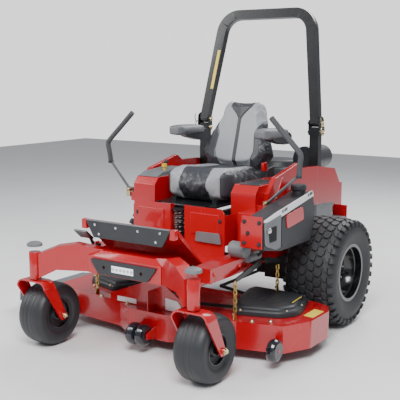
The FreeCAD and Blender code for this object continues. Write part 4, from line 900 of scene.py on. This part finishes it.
# %% Wheel nuts and hubs
BARREL_CAP = 545
for name, side in SIDES.items():
    rim_face = DRIVE_X + 34
    centre = spot(side * rim_face, 0, DRIVE_RADIUS)
    body = "drive_wheel_" + name
    lathe("hub_cap_" + name, [(70, 0), (70, 8 * side), (52, 12 * side), (34, 14 * side), (30, 34 * side),
                              (0.01, 38 * side)], centre, "X", "wheel_black", body, closed=False)
    lathe("rim_step_" + name, [(146, 62 * side), (140, 58 * side), (132, 20 * side), (118, 4 * side),
                               (74, 2 * side), (74, -3 * side), (122, -3 * side), (138, 14 * side),
                               (146, 54 * side)], centre, "X", "wheel_black", body)
    for k in range(5):
        turn = math.tau * k / 5 + 0.3
        place = centre + Vector((0.010 * side, 0.052 * math.cos(turn), 0.052 * math.sin(turn)))
        nut("wheel_nut_%s_%d" % (name, k), place, "X", 11, 14 * side, "silver_plate", body)
        turn += math.tau / 10
        ribs = [spot(side * rim_face, 0, DRIVE_RADIUS) + Vector((dx * side, r * math.cos(turn + da),
                r * math.sin(turn + da))) for r, dx, da in ((0.072, 0.004, -0.16), (0.072, 0.004, 0.16),
                (0.134, 0.022, 0.07), (0.134, 0.022, -0.07), (0.072, 0.020, -0.10), (0.072, 0.020, 0.10),
                (0.134, 0.034, 0.05), (0.134, 0.034, -0.05))]
        piece("wheel_rib_%s_%d" % (name, k), ribs, [(0, 1, 2, 3), (4, 5, 6, 7), (0, 1, 5, 4), (1, 2, 6, 5),
              (2, 3, 7, 6), (3, 0, 4, 7)], "wheel_black", body, bevel=3)
    tyre_low, tyre_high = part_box("caster_tyre_" + name)
    axle = (tyre_low + tyre_high) / 2
    lathe("barrel_cap_" + name, [(40, -4), (41, 2), (38, 10), (26, 17), (0.01, 20)],
          spot(side * 496, -1261, BARREL_CAP), "Z", "grey_plastic",
          "chassis", turns=48, closed=False)
    fork_low, fork_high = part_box("fork_" + name)
    for end, x in ((-1, fork_low.x), (1, fork_high.x)):
        nut("caster_nut_%s_%s" % (name, "out" if end == side else "in"), Vector((x, axle.y, axle.z)), "X", 12,
            12 * end, "plated_steel", "caster_fork_" + name)
    for end in (-1, 1):
        lathe("caster_disc_%s_%s" % (name, "out" if end == side else "in"),
              [(74, 52 * end), (60, 48 * end), (40, 44 * end), (30, 58 * end), (18, 60 * end), (18, 40 * end),
               (74, 40 * end)], axle, "X", "black_plastic", "caster_wheel_" + name, turns=56)
print("wheel centres")

# %% [markdown]
# ## Belt covers
# The two moulded covers on the deck keep fingers off the belt. Each is a low tray with a sloping skirt, a
# raised middle, ribs for stiffness and a slot for a tool, drawn as a near-black plate of painted shade.

# %% Belt covers
def tray(name, outline, levels, coating, body):
    """Stacked outlines drawn in towards their own middle; levels are (height, share of the outline)."""
    cx = sum(a for a, b in outline) / len(outline)
    cy = sum(b for a, b in outline) / len(outline)
    points, faces, n = [], [], len(outline)
    for height, share in levels:
        points += [spot(cx + (a - cx) * share, cy + (b - cy) * share, height) for a, b in outline]
    for k in range(len(levels) - 1):
        faces += [(k * n + i, k * n + (i + 1) % n, (k + 1) * n + (i + 1) % n,
                   (k + 1) * n + i) for i in range(n)]
    faces.append(tuple((len(levels) - 1) * n + i for i in range(n)))
    faces.append(tuple(range(n - 1, -1, -1)))
    return piece(name, points, faces, coating, body, sharp=28, bevel=2)


for name, side in SIDES.items():
    ground = [(258, -415), (333, -672), (400, -762), (630, -687), (684, -607), (680, -539), (613, -334),
              (488, -319), (240, -324)]
    outline = rounded([(side * a, b) for a, b in ground], 34)
    cover = tray("belt_cover_" + name, outline,
                 [(201, 1), (222, 0.985), (230, 0.95), (231, 0.86), (240, 0.84),
                 (246, 0.80), (247, 0.74)], "black_plastic", "deck")
    for k in range(4):
        x = side * (405 + k * 46)
        plate("cover_rib_%s_%d" % (name, k), "XY", rounded([(x - 5, -600), (x + 5, -600), (x + 5, -420),
              (x - 5, -420)], 4), 246, 250, "black_plastic", "deck", 1.2)
    # The slot is a near-black plate laid on the cover: painted shade in place of a cut hole.
    plate("cover_slot_%s" % name, "XY", rounded([(side * 612, -560), (side * 632, -552), (side * 618, -420),
          (side * 600, -424)], 6), 240, 250, "painted_hole_shade", "deck", 0.5)
    plate("cover_slot_edge_%s" % name, "XY", rounded([(side * 622, -556), (side * 628, -553),
                                                      (side * 614, -424),
          (side * 609, -425)], 2), 249, 251, "sticker_yellow", "deck", 0.3)
    for k, (x, y) in enumerate(((640, -640), (652, -500), (430, -745))):
        nut("cover_bolt_%s_%d" % (name, k), spot(side * x, y, 222), "Z", 8, 9, "plated_steel", "deck")
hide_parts("belt_covers")
for k in range(5):
    low_x = 440 + k * 28
    plate("edge_cover_%d" % k, "XY", rounded([(low_x, -742 + k * 16), (low_x + 26, -727 + k * 16),
          (low_x + 24, -668 + k * 10), (low_x + 2, -684 + k * 10)], 4), 200, 222 + 3 * (k % 2), "black_panel",
          "deck", 2)
print("belt covers")

# %% [markdown]
# ## Chains
# The deck hangs on four short chains. Each link is an oval ring of wire, and every second link is turned a
# quarter, as in real chain.

# %% Chains
CHAIN_X, CHAIN_TOP = 452, 395


def chain(name, x, y, low, high, coating, body, wire=3.4, pitch=21):
    """A straight run of links between two heights."""
    points, faces = [], []
    count = int((high - low) / pitch)
    for n in range(count):
        middle = spot(x, y, low + (n + 0.5) * pitch)
        flat = Vector((1, 0, 0)) if n % 2 else Vector((0, 1, 0))
        path = []
        for k in range(16):
            a = math.tau * k / 16
            tall = 6.5 if math.sin(a) > 0 else -6.5
            path.append(middle + flat * 8.2 * MM * math.cos(a) + Vector((0, 0,
                                                                         (8.2 * math.sin(a) + tall) * MM)))
        more_points, more_faces = loop_points(path, wire, 6)
        base = len(points)
        points += more_points
        faces += [tuple(base + i for i in f) for f in more_faces]
    return piece(name, points, faces, coating, body)


for name, side in SIDES.items():
    for place, y, low in (("front", -834, 226), ("rear", -400, 268)):
        run = chain("chain_%s_%s" % (place, name), side * CHAIN_X, y, low, CHAIN_TOP, "chain_zinc", "deck")
        plate("chain_foot_%s_%s" % (place, name), "YZ", rounded([(y - 16, low - 26), (y + 16, low - 26),
              (y + 10, low + 12), (y - 10, low + 12)], 6), side * CHAIN_X - 3, side * CHAIN_X + 3,
              "chain_zinc", "deck", 1)
        nut("chain_bolt_%s_%s" % (place, name), spot(side * CHAIN_X - 3 * side, y, low + 4), "X", 8,
            -8 * side,
            "plated_steel", "deck")
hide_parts("lift_chains")
print("chains")

# %% [markdown]
# ## Roll bar hardware
# At each hinge of the roll bar a spring clip holds the lock pin. The clips and pins are yellow zinc, and the
# right-hand leg carries a plain yellow strip on its inner side.

# %% Roll bar pins, clips and strip
HINGE_X, HINGE_Y, HINGE_Z = 388, 156, 1125
for name, side in SIDES.items():
    x, y, z = side * HINGE_X, HINGE_Y, HINGE_Z
    for place, lift in (("hinge", 0), ("lock", -52)):
        for end in (-1, 1):
            nut("bar_%s_%s_%s" % (place, name, "a" if end < 0 else "b"), spot(x + end * 38, y, z + lift),
                "X", 11,
                10 * end, "plated_steel", "chassis")
    ring = [spot(x + side * 52, y - 14 + 22 * math.cos(math.tau * k / 24),
                 z - 40 + 27 * math.sin(math.tau * k / 24))
            for k in range(24)]
    points, faces = loop_points(ring, 3.2)
    piece("bar_clip_" + name, points, faces, "plated_steel", "chassis")
    bar("bar_pin_leg_" + name, [spot(x + side * 52, y - 30, z - 20), spot(x + side * 56, y - 44, z + 6),
                                spot(x + side * 50, y - 40, z + 34)], 3, "plated_steel", "chassis")
    plate("bar_bracket_" + name, "YZ", rounded([(y - 34, z - 66), (y + 34, z - 66), (y + 30, z + 26),
          (y, z + 44), (y - 30, z + 26)], 10), x + side * 33, x + side * 38, "black_paint", "chassis", 1.5)
LEAN_BAR, LEG_IN = math.tan(math.radians(8.7)), 91 / 670

BOX_FACES = [(0, 1, 3, 2), (4, 6, 7, 5), (0, 4, 5, 1), (1, 5, 7, 3), (3, 7, 6, 2), (2, 6, 4, 0)]


def on_leg(across, up, ahead):
    """A place on the right leg of the hoop: mm across and ahead of its middle, mm above the hinge."""
    return spot(-HINGE_X + LEG_IN * up + across, HINGE_Y + LEAN_BAR * up + 24 - ahead, HINGE_Z + up)


strip_points = [on_leg(a, u, 46.5) for u in (190, 430) for a in (6, 26)]
strip_points += [on_leg(a, u, 44.5) for u in (190, 430) for a in (6, 26)]
piece("bar_strip", strip_points, BOX_FACES, "sticker_yellow", "roll_hoop")
side_points = [on_leg(29.2, u, a) for u in (190, 430) for a in (8, 38)]
side_points += [on_leg(30.2, u, a) for u in (190, 430) for a in (8, 38)]
piece("bar_strip_side", side_points, BOX_FACES, "sticker_yellow", "roll_hoop")
print("roll bar hardware")

# %% [markdown]
# ## Front end
# The toe board has a grey strip along its top edge, a painted highlight, and red ends and small screws. The
# lamp's clear lens hides a row of small reflectors. A few plain labels and yellow bolts finish the deck and
# arms.

# %% Toe board, lamp and deck details
toe_low, toe_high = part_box("footplate")
TOE_FRONT, TOE_TOP = (toe_low.y - AXLE) / MM, toe_high.z / MM
# A grey strip along the toe board's top edge: painted highlight where the edge catches the light.
plate("toe_painted_highlight", "XZ", rounded([(-258, TOE_TOP - 2), (258, TOE_TOP - 2), (258, TOE_TOP + 3),
                                 (-258, TOE_TOP + 3)], 2),
      TOE_FRONT - 2, TOE_FRONT + 12, "grey_plastic", "platform", 1)
for name, side in SIDES.items():
    plate("toe_end_" + name, "XZ", rounded([(side * 262, TOE_TOP - 46), (side * 294, TOE_TOP - 46),
          (side * 294, TOE_TOP + 4), (side * 266, TOE_TOP + 4)], 5), TOE_FRONT - 2, TOE_FRONT + 26,
          "red_paint",
          "platform", 2)
    for k, (x, z) in enumerate(((206, -20), (180, -66), (70, -24))):
        nut("toe_screw_%s_%d" % (name, k), spot(side * x, TOE_FRONT, TOE_TOP + z), "Y", 5, -4, "silver_plate",
            "platform")
lens_low, lens_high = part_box("light_lens")
for k in range(6):
    x = (lens_low.x - MIDDLE) / MM + 12 + k * 23.2
    lathe("lamp_cell_%d" % k, [(0.01, -1), (4, -2), (8.5, -5), (9, -6), (0.01, -6)],
          Vector((MIDDLE + x * MM, lens_low.y + 0.004, (lens_low.z + lens_high.z) / 2)), "Y", "silver_plate",
          "chassis", turns=24, closed=False)
for k, (x, y) in enumerate(((-560, -735), (-380, -880), (-180, -900), (200, -868), (540, -815), (620, -770),
                            (-660, -600), (330, -850))):
    nut("deck_bolt_%d" % k, spot(x, y, 200), "Z", 10, 10, "plated_steel", "deck")
plate("deck_label_yellow", "XY", rounded([(700, -575), (697, -440), (757, -452), (758, -580)], 5), 200, 201.2,
      "sticker_yellow", "deck", 0.2)
plate("deck_label_white", "XZ", rounded([(-250, 206), (-120, 206), (-120, 232), (-250, 232)], 4), -903, -900,
      "sticker_white", "deck", 0.2)
plate("nose_label_white", "XZ", rounded([(72, 206), (190, 206), (150, 262), (72, 270)], 4), -903, -900,
      "sticker_white", "deck", 0.2)
plate("pod_label", "XZ", rounded([(122, 542), (128, 594), (272, 596), (284, 540)], 8), -706, -699,
      "grey_plastic",
      "platform", 1)
for k, (x, z) in enumerate(((500, 600), (500, 706), (584, 600), (584, 706), (520, 650))):
    nut("bracket_bolt_%d" % k, spot(x, -832, z), "Y", 8, -7, "black_panel", "chassis")
for name, side in SIDES.items():
    nut("pod_bolt_" + name, spot(side * 270, -694, 660), "Y", 8, -7, "black_panel", "platform")
print("front end")

# %% [markdown]
# ## Around the operator
# Beside the cushion sit the belt reel and its red buckle. A tray with a cup ring lies on the left
# console, and a valve body with a short hose fills the space under the front of the tank.

# %% Belt reel, cup ring and valve
plate("belt_reel", "YZ", rounded([(-190, 800), (-190, 880), (-110, 890), (-100, 800)], 14), 238, 262,
      "black_plastic", "seat", 3)
plate("belt_buckle", "YZ", rounded([(-215, 868), (-222, 915), (-185, 922), (-180, 872)], 8), 240, 258,
      "red_paint", "seat", 2)
lathe("cup_well", [(44, 0), (46, 4), (40, 5), (36, -1), (0.01, -1)], spot(330, -420, 834), "Z",
      "black_plastic",
      "chassis", turns=56, closed=False)
plate("console_tray", "XY", rounded([(272, -520), (388, -520), (392, -300), (272, -300)], 24), 833, 838,
      "black_plastic", "chassis", 2)
lathe("valve_body", [(0.01, -60), (34, -60), (40, -52), (40, 30), (30, 40), (0.01, 40)],
      spot(440, -760, 545), "X",
      "grey_plastic", "chassis", turns=48, closed=False)
lathe("valve_neck", [(0.01, -50), (20, -50), (22, -44), (22, 60), (0.01, 62)], spot(470, -700, 500), "Y",
      "grey_plastic", "chassis", turns=40, closed=False)
bar("fuel_hose", [spot(500, -640, 545), spot(500, -660, 510), spot(470, -700, 500), spot(420, -640, 510),
                  spot(380, -560, 520)], 8, "belt_rubber", "chassis")
print("operator's side")
